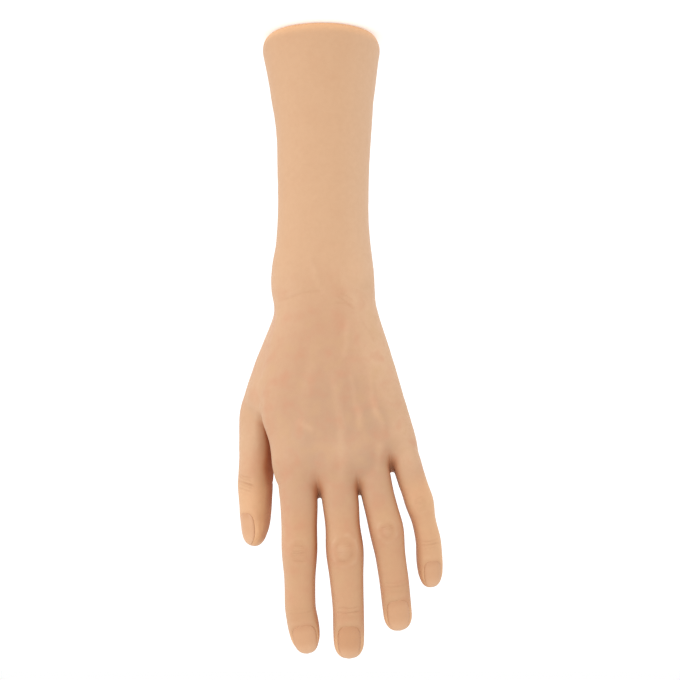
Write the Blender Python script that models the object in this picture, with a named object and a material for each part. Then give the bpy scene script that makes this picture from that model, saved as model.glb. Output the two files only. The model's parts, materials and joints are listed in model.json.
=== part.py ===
"""A left practice hand with forearm: soft silicone skin over a jointed armature.

Run with: blender --background --python part.py, or from Blender's text editor.
Metres, +Z up. The hand stands on the flat end of its forearm, whose centre is the origin.
The fingers point up, the back of the hand faces -Y and the thumb is on the +X side.

Every sub-part is one named object. The silicone between two joints is a rigid pad, and the
silicone that crosses a joint is a collar of its own. Inside run the links of the armature,
from a rod in the forearm over the wrist and the hand frame to the fingertips.
"""

import math

import bmesh
import bpy
import numpy as np
from mathutils import Matrix, Vector

MM = 0.001

# Clearances
GAP = 0.3 * MM  # between faces that lie against each other
HINGE_GAP = 0.35 * MM  # sideways play of a tongue in its fork
PIN_GAP = 0.25 * MM  # round the pins, which have flat facets

# Roundness of the sections
TRUNK_SIDES = 24
FINGER_SIDES = 16
PIN_SIDES = 10
EYE_CORNERS = 5  # of the half circle at a link's end

# Forearm, wrist and palm: height, reach to the thumb side, to the little finger side,
# to the back and to the palm, and how square the section is
TRUNK = [
    (0.0, 30.0, 29.5, 22.5, 22.5, 2.2),
    (1.6, 32.0, 31.3, 24.3, 24.3, 2.2),
    (4.6, 33.0, 32.0, 25.2, 25.2, 2.2),
    (14.0, 31.9, 31.2, 24.6, 24.6, 2.2),
    (24.0, 30.2, 30.1, 23.6, 23.8, 2.2),
    (38.0, 27.8, 28.4, 22.2, 22.6, 2.2),
    (52.0, 25.6, 27.2, 21.0, 21.6, 2.2),
    (80.0, 24.2, 25.4, 19.6, 20.2, 2.2),
    (107.0, 24.0, 25.3, 18.8, 19.2, 2.25),
    (121.0, 25.0, 26.4, 18.6, 18.8, 2.3),
    (133.0, 27.2, 27.6, 18.8, 18.4, 2.35),
    (146.0, 27.4, 28.6, 18.9, 18.0, 2.4),
    (152.0, 26.4, 29.2, 18.8, 18.0, 2.4),
    (160.0, 27.0, 31.0, 18.6, 18.6, 2.5),
    (172.0, 29.0, 34.8, 18.2, 19.6, 2.5),
    (186.0, 31.2, 39.0, 17.6, 19.4, 2.6),
    (201.0, 32.0, 43.2, 16.8, 18.0, 2.6),
    (216.0, 31.4, 47.6, 15.8, 16.0, 2.7),
    (230.0, 29.4, 50.6, 14.8, 14.6, 2.8),
    (243.0, 26.0, 54.0, 13.2, 13.2, 2.8),
    (254.0, 22.6, 58.0, 11.4, 12.0, 2.8),
    (262.0, 21.6, 60.0, 10.4, 11.4, 2.8),
]

# Joint of the wrist
WRIST_HEIGHT = 151.0 * MM
WRIST_COLLAR = 9.0 * MM  # half its length
WRIST_TONGUE_WIDTH = 6.0 * MM
WRIST_PRONG_WIDTH = 3.65 * MM
WRIST_PIN_RADIUS = 3.0 * MM
WRIST_EYE_WALL = 3.75 * MM
FORK_ROOT = 5.0 * MM  # of solid steel below the slot of the wrist fork
WRIST_SIDES = 16
WRIST_FORK_WIDTH = WRIST_TONGUE_WIDTH + 2 * (HINGE_GAP + WRIST_PRONG_WIDTH)
WRIST_EYE_RADIUS = WRIST_PIN_RADIUS + PIN_GAP + WRIST_EYE_WALL

# Armature in the forearm
ROD_RADIUS = 5.0 * MM
ROD_SIDES = 20
CORE_WALL = 9.0 * MM  # silicone round the core
CORE_BELOW_WRIST = 23.0 * MM  # from the top of the core to the wrist's hinge
DISC_THICKNESS = 6.0 * MM
DISC_RIM = 7.0 * MM  # silicone round the base disc
ROD_SEAT_FLOOR = 2.5 * MM  # what the disc keeps under the rod's end
NUT_WALL = 2.7 * MM  # at the middle of a flat
NUT_THICKNESS = 8.0 * MM
WASHER_RIM = 2.8 * MM  # past the corners of the nut
WASHER_THICKNESS = 2.0 * MM
CORE_TOP = WRIST_HEIGHT - CORE_BELOW_WRIST
NUT_RADIUS = (ROD_RADIUS + GAP + NUT_WALL) / math.cos(math.radians(30))
WASHER_RADIUS = NUT_RADIUS + WASHER_RIM

# Hand frame
HUB_START = 4.0 * MM  # from the wrist's eye to the hub
HUB_HEIGHT = 14.0 * MM
BAR_DEPTH = 6.4 * MM
BAR_STRAIGHT = 13.0 * MM  # of each bar, in line with its finger
BAR_OVERLAP = 1.5 * MM  # of a bar into the hub and into its straight end

# Links of the fingers
TONGUE_WIDTH = 2.2 * MM
PRONG_WIDTH = 1.25 * MM
PIN_RADIUS = 1.4 * MM
EYE_WALL = 1.75 * MM
EYE_TO_SHOULDER = 1.2 * MM  # from the round end of a fork to the shoulder of the next link
ANCHOR_LENGTH = 12.0 * MM  # of the last link, into the fingertip, short of the nail
LINK_WIDTH = TONGUE_WIDTH + 2 * (HINGE_GAP + PRONG_WIDTH)
EYE_RADIUS = PIN_RADIUS + PIN_GAP + EYE_WALL
SHOULDER = EYE_RADIUS + EYE_TO_SHOULDER
CUT_PAST = 2.0 * MM  # how far a small cut runs past what it cuts
CUT_REACH = 2 * MM * max(max(row[1:5]) for row in TRUNK)  # takes off all on one side of a face

# How far each joint turns from rest: towards the palm, and the thumb's root joint away from it
FINGER_BEND = (math.radians(50), math.radians(55), math.radians(35))
THUMB_BEND = (math.radians(25), math.radians(30))
LANE_OVERLAP = 0.6 * MM  # of the blocks cut from the palm for neighbouring collars

# Nails
NAIL_THICKNESS = 1.0 * MM
NAIL_SINK = 0.65 * MM  # how deep the nail lies in its bed
NAIL_ARC = math.radians(104)
NAIL_LENGTH = 0.78  # of the width of its fingertip
NAIL_TO_TIP = 0.17  # of that width, from the nail's edge to the tip
NAIL_ROOT_TAPER = 0.16  # how much narrower the nail is at its root
NAIL_EDGE_TAPER = 0.3  # and at its free edge
NAIL_DROOP = 0.5  # of that width, how fast the nail curves down past its middle

PALM_SHARE = 0.53  # of a finger's depth, on the palm side of its joints
TIP_DOME = 0.52  # height of the rounded end of a finger, of its width there
TIP_FULLNESS = 0.86  # 1 makes that end an ellipsoid, less makes it fuller

# Each finger: place of its root joint, depth of that joint, lengths from joint to joint
# and to the tip, lean towards the thumb side and bend towards the palm of each length, in
# degrees, then the widths and depths at the seven stations of its sections, in millimetres
FINGERS = {
    "index": {
        "root": (12.1, 261.0), "depth": 0.6, "lengths": (24.8, 30.8, 25.6),
        "lean": (-1.5, -1.7, -7.5), "bend": (9.0, 17.0, 25.0),
        "widths": (19.8, 18.9, 18.7, 16.3, 15.8, 15.8, 14.6),
        "depths": (19.6, 17.8, 17.4, 14.8, 13.8, 13.4, 11.6),
    },
    "middle": {
        "root": (-10.3, 261.0), "depth": 0.2, "lengths": (24.2, 31.2, 27.6),
        "lean": (-5.0, -3.4, -0.8), "bend": (9.0, 18.0, 26.0),
        "widths": (19.3, 18.6, 19.6, 17.2, 16.0, 15.9, 15.0),
        "depths": (19.8, 18.0, 18.0, 15.2, 14.0, 13.6, 11.8),
    },
    "ring": {
        "root": (-30.0, 256.0), "depth": 0.6, "lengths": (19.0, 28.6, 27.6),
        "lean": (-12.5, -8.2, -4.4), "bend": (9.0, 18.0, 26.0),
        "widths": (17.8, 17.8, 18.2, 15.6, 14.9, 15.4, 14.0),
        "depths": (18.8, 17.4, 17.0, 14.2, 13.2, 13.0, 11.2),
    },
    "little": {
        "root": (-48.0, 247.0), "depth": 1.6, "lengths": (13.6, 21.2, 26.4),
        "lean": (-17.0, -12.0, -4.8), "bend": (10.0, 18.0, 25.0),
        "widths": (15.6, 15.2, 14.9, 12.9, 13.4, 13.8, 12.4),
        "depths": (16.6, 15.6, 14.8, 12.6, 12.0, 12.0, 10.2),
    },
}

# The thumb: three places of its ball in the palm, with their width and depth, then its root
# joint, its knuckle and its tip, and the widths and depths at the five stations between
THUMB_BASE = [(10.0, 5.0, 150.0), (23.4, 13.4, 184.0), (33.6, 20.4, 210.0)]
THUMB_BASE_SIZES = [(24.0, 22.0), (27.0, 26.0), (22.0, 21.0)]
THUMB_JOINTS = [(35.6, 24.0, 226.0), (36.7, 28.4, 247.7), (37.4, 34.0, 280.6)]
THUMB_WIDTHS = (19.6, 19.4, 19.8, 17.4, 15.6)
THUMB_DEPTHS = (18.4, 17.6, 17.2, 14.6, 12.6)
THUMB_TURN = math.radians(40)  # of the nail, from the back of the hand to the thumb side

# Colours as the photograph shows them
SKIN_COLOUR = (0.70, 0.42, 0.26, 1.0)
NAIL_COLOUR = (0.74, 0.44, 0.27, 1.0)
LINK_COLOUR = (0.62, 0.60, 0.54, 1.0)
STEEL_COLOUR = (0.55, 0.56, 0.58, 1.0)
FOAM_COLOUR = (0.80, 0.70, 0.50, 1.0)
DISC_COLOUR = (0.66, 0.47, 0.32, 1.0)


def clear_scene():
    for old in list(bpy.data.objects):
        bpy.data.objects.remove(old)


def new_collection(name, hidden=False):
    made = bpy.data.collections.new(name)
    made.hide_render = hidden
    bpy.context.scene.collection.children.link(made)
    return made


def material(name, colour, roughness, metallic=0.0):
    made = bpy.data.materials.new(name)
    made.use_nodes = True
    shader = made.node_tree.nodes["Principled BSDF"]
    shader.inputs["Base Color"].default_value = colour
    shader.inputs["Roughness"].default_value = roughness
    shader.inputs["Metallic"].default_value = metallic
    made.diffuse_color = colour
    return made


def hinge_empty(name, point, parent):
    """An empty on a joint, which carries what moves with that joint."""
    made = bpy.data.objects.new(name, None)
    made.empty_display_size = EYE_RADIUS
    PARTS.objects.link(made)
    made.location = point
    carry(made, parent)
    return made


def carry(made, parent):
    """Parents an object and leaves it where it is."""
    bpy.context.view_layer.update()
    made.parent = parent
    made.matrix_parent_inverse = parent.matrix_world.inverted()


def keep(mesh, name, look, hinge):
    """Puts a mesh in the hand's collection as a named object, shaded smooth, carried by the
    empty of its joint."""
    made = bpy.data.objects.new(name, mesh)
    PARTS.objects.link(made)
    carry(made, hinge)
    mesh.materials.clear()
    mesh.materials.append(look)
    mesh.shade_smooth()
    mesh.set_sharp_from_angle(angle=math.radians(35))
    return made


def cutter(mesh, name):
    """Puts a mesh among the cutters, which aren't part of the hand."""
    made = bpy.data.objects.new(name, mesh)
    CUTTERS.objects.link(made)
    made.hide_render = True
    made.display_type = "WIRE"
    return made


def cut(target, tool, operation="DIFFERENCE"):
    """Adds a Boolean to the target, with the EXACT solver."""
    step = target.modifiers.new(operation.title(), "BOOLEAN")
    step.operation = operation
    step.solver = "EXACT"
    step.object = tool
    return target


def baked(obj):
    """The mesh of an object as its modifiers leave it."""
    graph = bpy.context.evaluated_depsgraph_get()
    return bpy.data.meshes.new_from_object(obj.evaluated_get(graph))


def section(frame, reach, sides, square=2.1):
    """One ring of points: a superellipse in a frame (centre, across, back), with its own
    reach to both sides, to the back and to the palm."""
    centre, across, back = (np.array(v) for v in frame)
    right, left, dorsal, palmar = reach
    turn = 2 * math.pi * np.arange(sides) / sides
    c, s = np.cos(turn), np.sin(turn)
    u = np.sign(c) * np.abs(c) ** (2 / square) * np.where(c > 0, right, left)
    v = np.sign(s) * np.abs(s) ** (2 / square) * np.where(s > 0, dorsal, palmar)
    return centre + u[:, None] * across + v[:, None] * back


def loft(rings, name, tip=None):
    """A closed mesh through rings of equal count: quads between the rings and a flat cap at
    each end, or a fan to a point where the last end is a tip."""
    sides = len(rings[0])
    bm = bmesh.new()
    rows = [[bm.verts.new(p) for p in ring] for ring in rings]
    for low, high in zip(rows, rows[1:]):
        for i in range(sides):
            j = (i + 1) % sides
            bm.faces.new((low[i], low[j], high[j], high[i]))
    bm.faces.new(rows[0][::-1])
    if tip is None:
        bm.faces.new(rows[-1])
    else:
        point = bm.verts.new(tip)
        for i in range(sides):
            bm.faces.new((rows[-1][i], rows[-1][(i + 1) % sides], point))
    bmesh.ops.recalc_face_normals(bm, faces=bm.faces)
    mesh = bpy.data.meshes.new(name)
    bm.to_mesh(mesh)
    bm.free()
    return mesh


def box(name, low, high, place=Matrix.Identity(4)):
    """A box between two corners, in the frame of a matrix."""
    bm = bmesh.new()
    bmesh.ops.create_cube(bm, size=1.0)
    size = Vector(high) - Vector(low)
    middle = (Vector(high) + Vector(low)) / 2
    bmesh.ops.transform(
        bm, matrix=place @ Matrix.Translation(middle) @ Matrix.Diagonal((*size, 1.0)), verts=bm.verts
    )
    mesh = bpy.data.meshes.new(name)
    bm.to_mesh(mesh)
    bm.free()
    return mesh


def rod(name, radius, low, high, sides, place=Matrix.Identity(4)):
    """A prism of many sides along the Z axis of a matrix, from low to high."""
    bm = bmesh.new()
    bmesh.ops.create_cone(
        bm, cap_ends=True, segments=sides, radius1=radius, radius2=radius, depth=high - low
    )
    shift = Matrix.Translation((0, 0, (low + high) / 2))
    bmesh.ops.transform(bm, matrix=place @ shift, verts=bm.verts)
    mesh = bpy.data.meshes.new(name)
    bm.to_mesh(mesh)
    bm.free()
    return mesh


def square_to(vector, axis):
    """The unit vector nearest to a vector that is square to an axis."""
    vector, axis = Vector(vector), Vector(axis).normalized()
    return (vector - vector.dot(axis) * axis).normalized()


def axes_matrix(origin, x, z):
    """A matrix from its X and Z axes, which are square to each other."""
    turned = Matrix((x, z.cross(x), z)).transposed().to_4x4()
    return Matrix.Translation(Vector(origin)) @ turned


def bar_matrix(origin, across, along):
    """A place for a bar: Z along it exactly, X as near to across as that allows."""
    z = Vector(along).normalized()
    return axes_matrix(origin, square_to(across, z), z)


def hinge_matrix(origin, hinge, along):
    """A place for a hinge: X along its pin exactly, Z as near to along as that allows."""
    x = Vector(hinge).normalized()
    return axes_matrix(origin, x, square_to(along, x))


def along_x(place):
    """The same place with its Z axis laid on the hinge line, for pins and bores."""
    return place @ Matrix.Rotation(math.radians(90), 4, "Y")


def trunk_at(height):
    """Reach of the trunk's section at a height, read from the table in straight steps."""
    heights = [row[0] * MM for row in TRUNK]
    columns = [[row[i] for row in TRUNK] for i in range(1, 6)]
    return [float(np.interp(height, heights, column)) for column in columns]


def trunk_ring(height, inset=0.0):
    """A level ring of the trunk, drawn in by the inset."""
    thumb, little, back, palm, square = trunk_at(height)
    reach = [max(r * MM - inset, MM) for r in (thumb, little, back, palm)]
    frame = (Vector((0, 0, height)), Vector((1, 0, 0)), Vector((0, -1, 0)))
    return section(frame, reach, TRUNK_SIDES, square)


def trunk_loft(low, high, name, inset=0.0):
    """The trunk between two heights, with a ring at each height of the table between."""
    between = [row[0] * MM for row in TRUNK if low + MM < row[0] * MM < high - MM]
    return loft([trunk_ring(z, inset) for z in [low, *between, high]], name)


def digit_reach(width, depth):
    """Reach of a finger's section to both sides, to the back and to the palm, where a
    finger is fuller."""
    return width / 2, width / 2, depth * (1 - PALM_SHARE), depth * PALM_SHARE


class Digit:
    """A finger or thumb: joints along a bent line, with sections on that line.

    points are the joints, from the root joint to the tip; first is the direction of the
    line before the root joint, and across is the hinge line at rest.
    """

    def __init__(self, name, points, first, across, widths, depths, bends):
        self.name = name
        self.points = [Vector(p) for p in points]
        self.across = Vector(across).normalized()
        lines = [b - a for a, b in zip(self.points, self.points[1:])]
        self.ways = [Vector(first).normalized()] + [line.normalized() for line in lines]
        self.lengths = [line.length for line in lines]
        self.starts = [sum(self.lengths[:i]) for i in range(len(lines) + 1)]
        self.stations = self.section_stations(len(widths))
        self.widths = widths
        self.depths = depths
        self.collars = [self.collar_half(joint, bend) for joint, bend in enumerate(bends)]

    def collar_half(self, joint, bend):
        """Half the length of a collar: the pads on both sides of it just clear each other
        on the palm side when the joint is at full bend."""
        rest = self.ways[joint].angle(self.ways[joint + 1])
        return self.reach(self.starts[joint])[3] * math.tan((rest + bend) / 2)

    def section_stations(self, count):
        """Where the table's sections stand: at each joint, midway between, and at the
        last fifth of the fingertip."""
        marks = []
        for start, end in zip(self.starts, self.starts[1:]):
            marks += [start, (start + end) / 2]
        return marks[:count - 1] + [self.starts[-1] - 0.2 * self.lengths[-1]]

    def reach(self, station):
        """Half the width, and the reach to the back and to the palm, at a station."""
        width = float(np.interp(station, self.stations, self.widths)) * MM
        depth = float(np.interp(station, self.stations, self.depths)) * MM
        return digit_reach(width, depth)

    def frame(self, station, way):
        """Centre, hinge line and back direction of the section plane square to a way."""
        part = max(i for i, s in enumerate(self.starts[:-1]) if s <= station or i == 0)
        centre = self.points[part] + self.ways[part + 1] * (station - self.starts[part])
        if station < 0:
            centre = self.points[0] + self.ways[0] * station
        across = square_to(self.across, way)
        return centre, across, way.cross(across)

    def ring(self, station, way, shrink=1.0):
        reach = [r * shrink for r in self.reach(station)]
        return section(self.frame(station, way), reach, FINGER_SIDES)

    def link_place(self, part):
        """The place of a link: its lower hinge, with Z along the link."""
        return bar_matrix(self.points[part], self.across, self.ways[part + 1])

    def fork_place(self, joint):
        """The place of the fork that holds a joint: X along the pin of the link above."""
        hinge = square_to(self.across, self.ways[joint + 1])
        return hinge_matrix(self.points[joint], hinge, self.ways[joint])

    def pad(self, part):
        """The rigid silicone between the collars at both ends of one length."""
        way = self.ways[part + 1]
        start = self.starts[part] + self.collars[part] + GAP
        end = self.starts[part + 1] - self.collars[part + 1] - GAP
        stations = (start, (start + end) / 2, end)
        return loft([self.ring(s, way) for s in stations], f"{self.name}_pad_{part}")

    def fingertip(self):
        """The last length, closed by a rounded end: the rings shrink as on a dome."""
        part = len(self.lengths) - 1
        way = self.ways[-1]
        start = self.starts[part] + self.collars[part] + GAP
        end = self.starts[-1]
        dome = self.widths[-1] * MM * TIP_DOME
        straight = [self.ring(s, way) for s in np.linspace(start, end - dome, 3)]
        domed = []
        for turn in np.radians((32, 58, 78)):
            station = end - dome + dome * math.sin(turn)
            domed.append(self.ring(station, way, math.cos(turn) ** TIP_FULLNESS))
        return loft(straight + domed, f"{self.name}_tip", tip=self.points[-1])

    def collar(self, joint):
        """The silicone across a joint: from the length before it to the length after."""
        before, after = self.ways[joint], self.ways[joint + 1]
        half = self.collars[joint]
        middle = (before + after).normalized()
        base = self.starts[joint]
        rings = [
            self.ring(base - half, before),
            self.ring(base, middle),
            self.ring(base + half, after),
        ]
        return loft(rings, f"{self.name}_collar_{joint}")


def finger(name):
    """A Digit from its entry in the table of fingers."""
    sizes = FINGERS[name]
    x, z = sizes["root"]
    points = [Vector((x, sizes["depth"], z)) * MM]
    for length, lean, bend in zip(sizes["lengths"], sizes["lean"], sizes["bend"]):
        points.append(points[-1] + direction(lean, bend) * length * MM)
    lean = sizes["lean"][0]
    across = Vector((-math.cos(math.radians(lean)), 0, math.sin(math.radians(lean))))
    first = direction(lean, 0)
    return Digit(name, points, first, across, sizes["widths"], sizes["depths"], FINGER_BEND)


def direction(lean, bend):
    """Unit vector up a finger that leans towards the thumb side and bends to the palm."""
    a, b = math.radians(lean), math.radians(bend)
    return Vector((math.sin(a) * math.cos(b), math.sin(b), math.cos(a) * math.cos(b)))


def thumb():
    """A Digit from the thumb's table, past its root joint."""
    points = [Vector(p) * MM for p in THUMB_JOINTS]
    first = points[0] - Vector(THUMB_BASE[-1]) * MM
    back = Vector((math.sin(THUMB_TURN), -math.cos(THUMB_TURN), 0))
    across = back.cross((points[1] - points[0]).normalized())
    return Digit("thumb", points, first, across, THUMB_WIDTHS, THUMB_DEPTHS, THUMB_BEND)


def link_outline(place, length, grow, name):
    """A bar with a round eye at both ends, seen from the side, as a solid prism."""
    radius = EYE_RADIUS + grow
    half = LINK_WIDTH / 2 + grow
    turn = np.radians(np.linspace(-90, 90, EYE_CORNERS))
    high = [(radius * math.sin(a), length + radius * math.cos(a)) for a in turn]
    low = [(radius * math.sin(a), -radius * math.cos(a)) for a in turn[::-1]]
    outline = high + low
    rings = [[place @ Vector((x, y, z)) for y, z in outline] for x in (-half, half)]
    return loft([np.array(ring) for ring in rings], name)


def fork_cuts(place, name):
    """What makes the end of a link a fork: a slot for the tongue, open along +Z, and a
    bore for the tongue's pins."""
    half = TONGUE_WIDTH / 2 + HINGE_GAP
    reach = EYE_RADIUS + CUT_PAST
    slot = box(
        f"{name}_slot", (-half, -reach, -EYE_RADIUS - HINGE_GAP), (half, reach, reach), place
    )
    bore = rod(
        f"{name}_bore", PIN_RADIUS + PIN_GAP, -LINK_WIDTH, LINK_WIDTH, PIN_SIDES, along_x(place)
    )
    return [cutter(slot, f"{name}_slot"), cutter(bore, f"{name}_bore")]


def tongue_cuts(place, name):
    """What makes the lower end of a link a tongue: both cheeks are taken off."""
    half = TONGUE_WIDTH / 2
    side = LINK_WIDTH
    reach = EYE_RADIUS + CUT_PAST
    made = []
    for label, sign in (("left", -1), ("right", 1)):
        low, high = sorted((sign * half, sign * side))
        cheek = box(f"{name}_{label}", (low, -reach, -reach), (high, reach, SHOULDER), place)
        made.append(cutter(cheek, f"{name}_{label}_cheek"))
    return made


def trunnions(place, name):
    """The pins on both sides of a tongue, as one rod through it."""
    half = LINK_WIDTH / 2
    return cutter(rod(name, PIN_RADIUS, -half, half, PIN_SIDES, along_x(place)), name)


def link(digit, part, hinge):
    """One link of the armature: a tongue with pins below and a fork above. The last one
    ends in a plain anchor in the fingertip."""
    last = part == len(digit.lengths) - 1
    name = f"{digit.name}_{LENGTH_LABELS[len(digit.lengths)][part]}_link"
    length = ANCHOR_LENGTH if last else digit.lengths[part]
    place = digit.link_place(part)
    made = keep(link_outline(place, length, 0.0, name), name, LOOKS["link"], hinge)
    for tool in tongue_cuts(place, name):
        cut(made, tool)
    if not last:
        for tool in fork_cuts(digit.fork_place(part + 1), name):
            cut(made, tool)
    cut(made, trunnions(place, f"{name}_pins"), "UNION")


def link_room(digit, part):
    """The room that a link takes in the silicone round it."""
    last = part == len(digit.lengths) - 1
    length = ANCHOR_LENGTH if last else digit.lengths[part]
    name = f"{digit.name}_room_{part}"
    return cutter(link_outline(digit.link_place(part), length, GAP, name), name)


def root_room(digit):
    """The room in the root collar for the fork of the hand frame that carries the digit."""
    name = f"{digit.name}_root_room"
    start = digit.points[0] - digit.ways[0] * BAR_STRAIGHT
    place = bar_matrix(start, digit.across, digit.ways[0])
    return cutter(link_outline(place, BAR_STRAIGHT, GAP, name), name)


def nail_mesh(digit, name, grow=0.0):
    """A nail: a curved plate that follows the back of the fingertip. It is narrower at both
    ends, and past its middle it curves down with the fingertip."""
    way = digit.ways[-1]
    width = digit.widths[-1] * MM
    length = width * NAIL_LENGTH + 2 * grow
    start = digit.starts[-1] - width * NAIL_TO_TIP - length + grow
    rows = []
    for share in np.linspace(0, 1, 5):
        station = start + share * length
        centre, across, back = digit.frame(station, way)
        half, _, dorsal, _ = digit.reach(station)
        squeeze = 1 - (NAIL_ROOT_TAPER if share < 0.5 else NAIL_EDGE_TAPER) * (2 * share - 1) ** 4
        spread = (NAIL_ARC / 2 + grow / half) * squeeze
        droop = NAIL_DROOP * width * max(0.0, share - 0.55) ** 2
        angles = np.linspace(-spread, spread, 5)
        outer, inner = [], []
        for a in angles:
            lift = NAIL_THICKNESS - NAIL_SINK + grow
            sink = -NAIL_SINK - grow
            for kept, offset in ((outer, lift), (inner, sink)):
                u = (half + offset) * math.sin(a)
                v = (dorsal + offset) * math.cos(a) - droop
                kept.append(centre + across * u + back * v)
        rows.append(outer + inner[::-1])
    return loft([np.array(row) for row in rows], name)


def build_forearm(base):
    """The silicone of the forearm, the foam core and what closes the end."""
    collar_start = WRIST_HEIGHT - WRIST_COLLAR
    mesh = trunk_loft(0.0, collar_start - GAP, "forearm_skin")
    skin = keep(mesh, "forearm_skin", LOOKS["skin"], base)
    core_low = DISC_THICKNESS + GAP
    hollow = trunk_loft(core_low - GAP, CORE_TOP + GAP, "core_room", CORE_WALL - GAP)
    cut(skin, cutter(hollow, "core_room"))
    disc_room = trunk_loft_level(-MM, DISC_THICKNESS, "disc_room", DISC_RIM - GAP)
    cut(skin, cutter(disc_room, "disc_room"))
    rod_room = rod("rod_room", ROD_RADIUS + GAP, CORE_TOP - MM, WRIST_HEIGHT, ROD_SIDES)
    cut(skin, cutter(rod_room, "rod_room"))

    mesh = trunk_loft(core_low, CORE_TOP, "forearm_core", CORE_WALL)
    core = keep(mesh, "forearm_core", LOOKS["foam"], base)
    bore = rod("core_bore", ROD_RADIUS + GAP, 0.0, CORE_TOP + MM, ROD_SIDES)
    cut(core, cutter(bore, "core_bore"))
    nut_low = DISC_THICKNESS + GAP + WASHER_THICKNESS + GAP
    nut_high = nut_low + NUT_THICKNESS
    pocket = rod("nut_room", WASHER_RADIUS + GAP, 0.0, nut_high + GAP, ROD_SIDES)
    cut(core, cutter(pocket, "nut_room"))

    mesh = trunk_loft_level(0.0, DISC_THICKNESS, "base_disc", DISC_RIM)
    disc = keep(mesh, "base_disc", LOOKS["disc"], base)
    seat = rod("rod_seat", ROD_RADIUS + GAP, ROD_SEAT_FLOOR, DISC_THICKNESS + MM, ROD_SIDES)
    cut(disc, cutter(seat, "rod_seat"))

    washer_low = DISC_THICKNESS + GAP
    washer = rod("rod_washer", WASHER_RADIUS, washer_low, washer_low + WASHER_THICKNESS, ROD_SIDES)
    washer = keep(washer, "rod_washer", LOOKS["steel"], base)
    nut = rod("rod_nut", NUT_RADIUS, nut_low, nut_high, 6)
    nut = keep(nut, "rod_nut", LOOKS["steel"], base)
    thread = cutter(rod("thread", ROD_RADIUS + GAP, 0.0, nut_high + MM, ROD_SIDES), "thread")
    cut(washer, thread)
    cut(nut, thread)


def trunk_loft_level(low, high, name, inset):
    """A straight plug with the outline of the trunk's wide end, drawn in by the inset."""
    reach = [r * MM - inset for r in TRUNK[2][1:5]]
    rings = []
    for z in (low, high):
        frame = (Vector((0, 0, z)), Vector((1, 0, 0)), Vector((0, -1, 0)))
        rings.append(section(frame, reach, TRUNK_SIDES, TRUNK[2][5]))
    return loft(rings, name)


def wrist_place():
    """The wrist's hinge: X along its pin, Z up the arm."""
    return axes_matrix((0, 0, WRIST_HEIGHT), Vector((-1, 0, 0)), Vector((0, 0, 1)))


def build_wrist(base):
    """The rod with its fork, the pin, and the silicone collar round them."""
    place = wrist_place()
    half = WRIST_FORK_WIDTH / 2
    fork_low = -WRIST_EYE_RADIUS - FORK_ROOT
    top = WRIST_HEIGHT + fork_low + MM
    shaft = rod("forearm_rod", ROD_RADIUS, ROD_SEAT_FLOOR + GAP, top, ROD_SIDES)
    shaft = keep(shaft, "forearm_rod", LOOKS["steel"], base)
    body = box(
        "fork_body", (-half, -WRIST_EYE_RADIUS, fork_low), (half, WRIST_EYE_RADIUS, 0.0), place
    )
    cut(shaft, cutter(body, "fork_body"), "UNION")
    eye = rod("fork_eye", WRIST_EYE_RADIUS, -half, half, ROD_SIDES, along_x(place))
    cut(shaft, cutter(eye, "fork_eye"), "UNION")
    slot_half = WRIST_TONGUE_WIDTH / 2 + HINGE_GAP
    deep = WRIST_EYE_RADIUS + CUT_PAST
    slot = box(
        "fork_slot", (-slot_half, -deep, -WRIST_EYE_RADIUS - HINGE_GAP), (slot_half, deep, deep), place
    )
    cut(shaft, cutter(slot, "fork_slot"))
    bore = rod(
        "wrist_bore", WRIST_PIN_RADIUS + PIN_GAP, -half - MM, half + MM, WRIST_SIDES, along_x(place)
    )
    cut(shaft, cutter(bore, "wrist_bore"))
    pin = rod("wrist_pin", WRIST_PIN_RADIUS, -half, half, WRIST_SIDES, along_x(place))
    keep(pin, "wrist_pin", LOOKS["steel"], base)

    low, high = WRIST_HEIGHT - WRIST_COLLAR, WRIST_HEIGHT + WRIST_COLLAR
    collar = keep(trunk_loft(low, high, "wrist_collar"), "wrist_collar", LOOKS["skin"], base)
    room = box(
        "wrist_room",
        (-half - GAP, -WRIST_EYE_RADIUS - GAP, -2 * WRIST_COLLAR),
        (half + GAP, WRIST_EYE_RADIUS + GAP, 2 * WRIST_COLLAR),
        place,
    )
    room = cutter(room, "wrist_room")
    cut(collar, room)
    cut(bpy.data.objects["forearm_skin"], room)


def hand_frame_bars(grow):
    """The bars of the hand frame as meshes: a hub over the wrist and one bar to each
    finger's root joint, grown on all sides for the room in the palm."""
    place = wrist_place()
    hub_low = WRIST_EYE_RADIUS + HUB_START
    hub_high = hub_low + HUB_HEIGHT
    half, deep = WRIST_FORK_WIDTH / 2 + grow, BAR_DEPTH / 2 + grow
    meshes = [box("hub", (-half, -deep, hub_low - grow), (half, deep, hub_high + grow), place)]
    hub_centre = place @ Vector((0, 0, (hub_low + hub_high) / 2))
    for digit in DIGITS:
        head_start = digit.points[0] - digit.ways[0] * BAR_STRAIGHT
        line = head_start - hub_centre
        half, past = LINK_WIDTH / 2 + grow, BAR_OVERLAP + grow
        low, high = (-half, -deep, -past), (half, deep, line.length + past)
        meshes.append(box(f"{digit.name}_bar", low, high, bar_matrix(hub_centre, digit.across, line)))
        head = bar_matrix(head_start, digit.across, digit.ways[0])
        meshes.append(link_outline(head, BAR_STRAIGHT, grow, f"{digit.name}_head"))
    return meshes


def joined(meshes, name):
    """One closed mesh from overlapping ones, by Boolean union."""
    base = cutter(meshes[0], f"{name}_base")
    for i, mesh in enumerate(meshes[1:]):
        cut(base, cutter(mesh, f"{name}_{i}"), "UNION")
    return baked(base)


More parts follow.
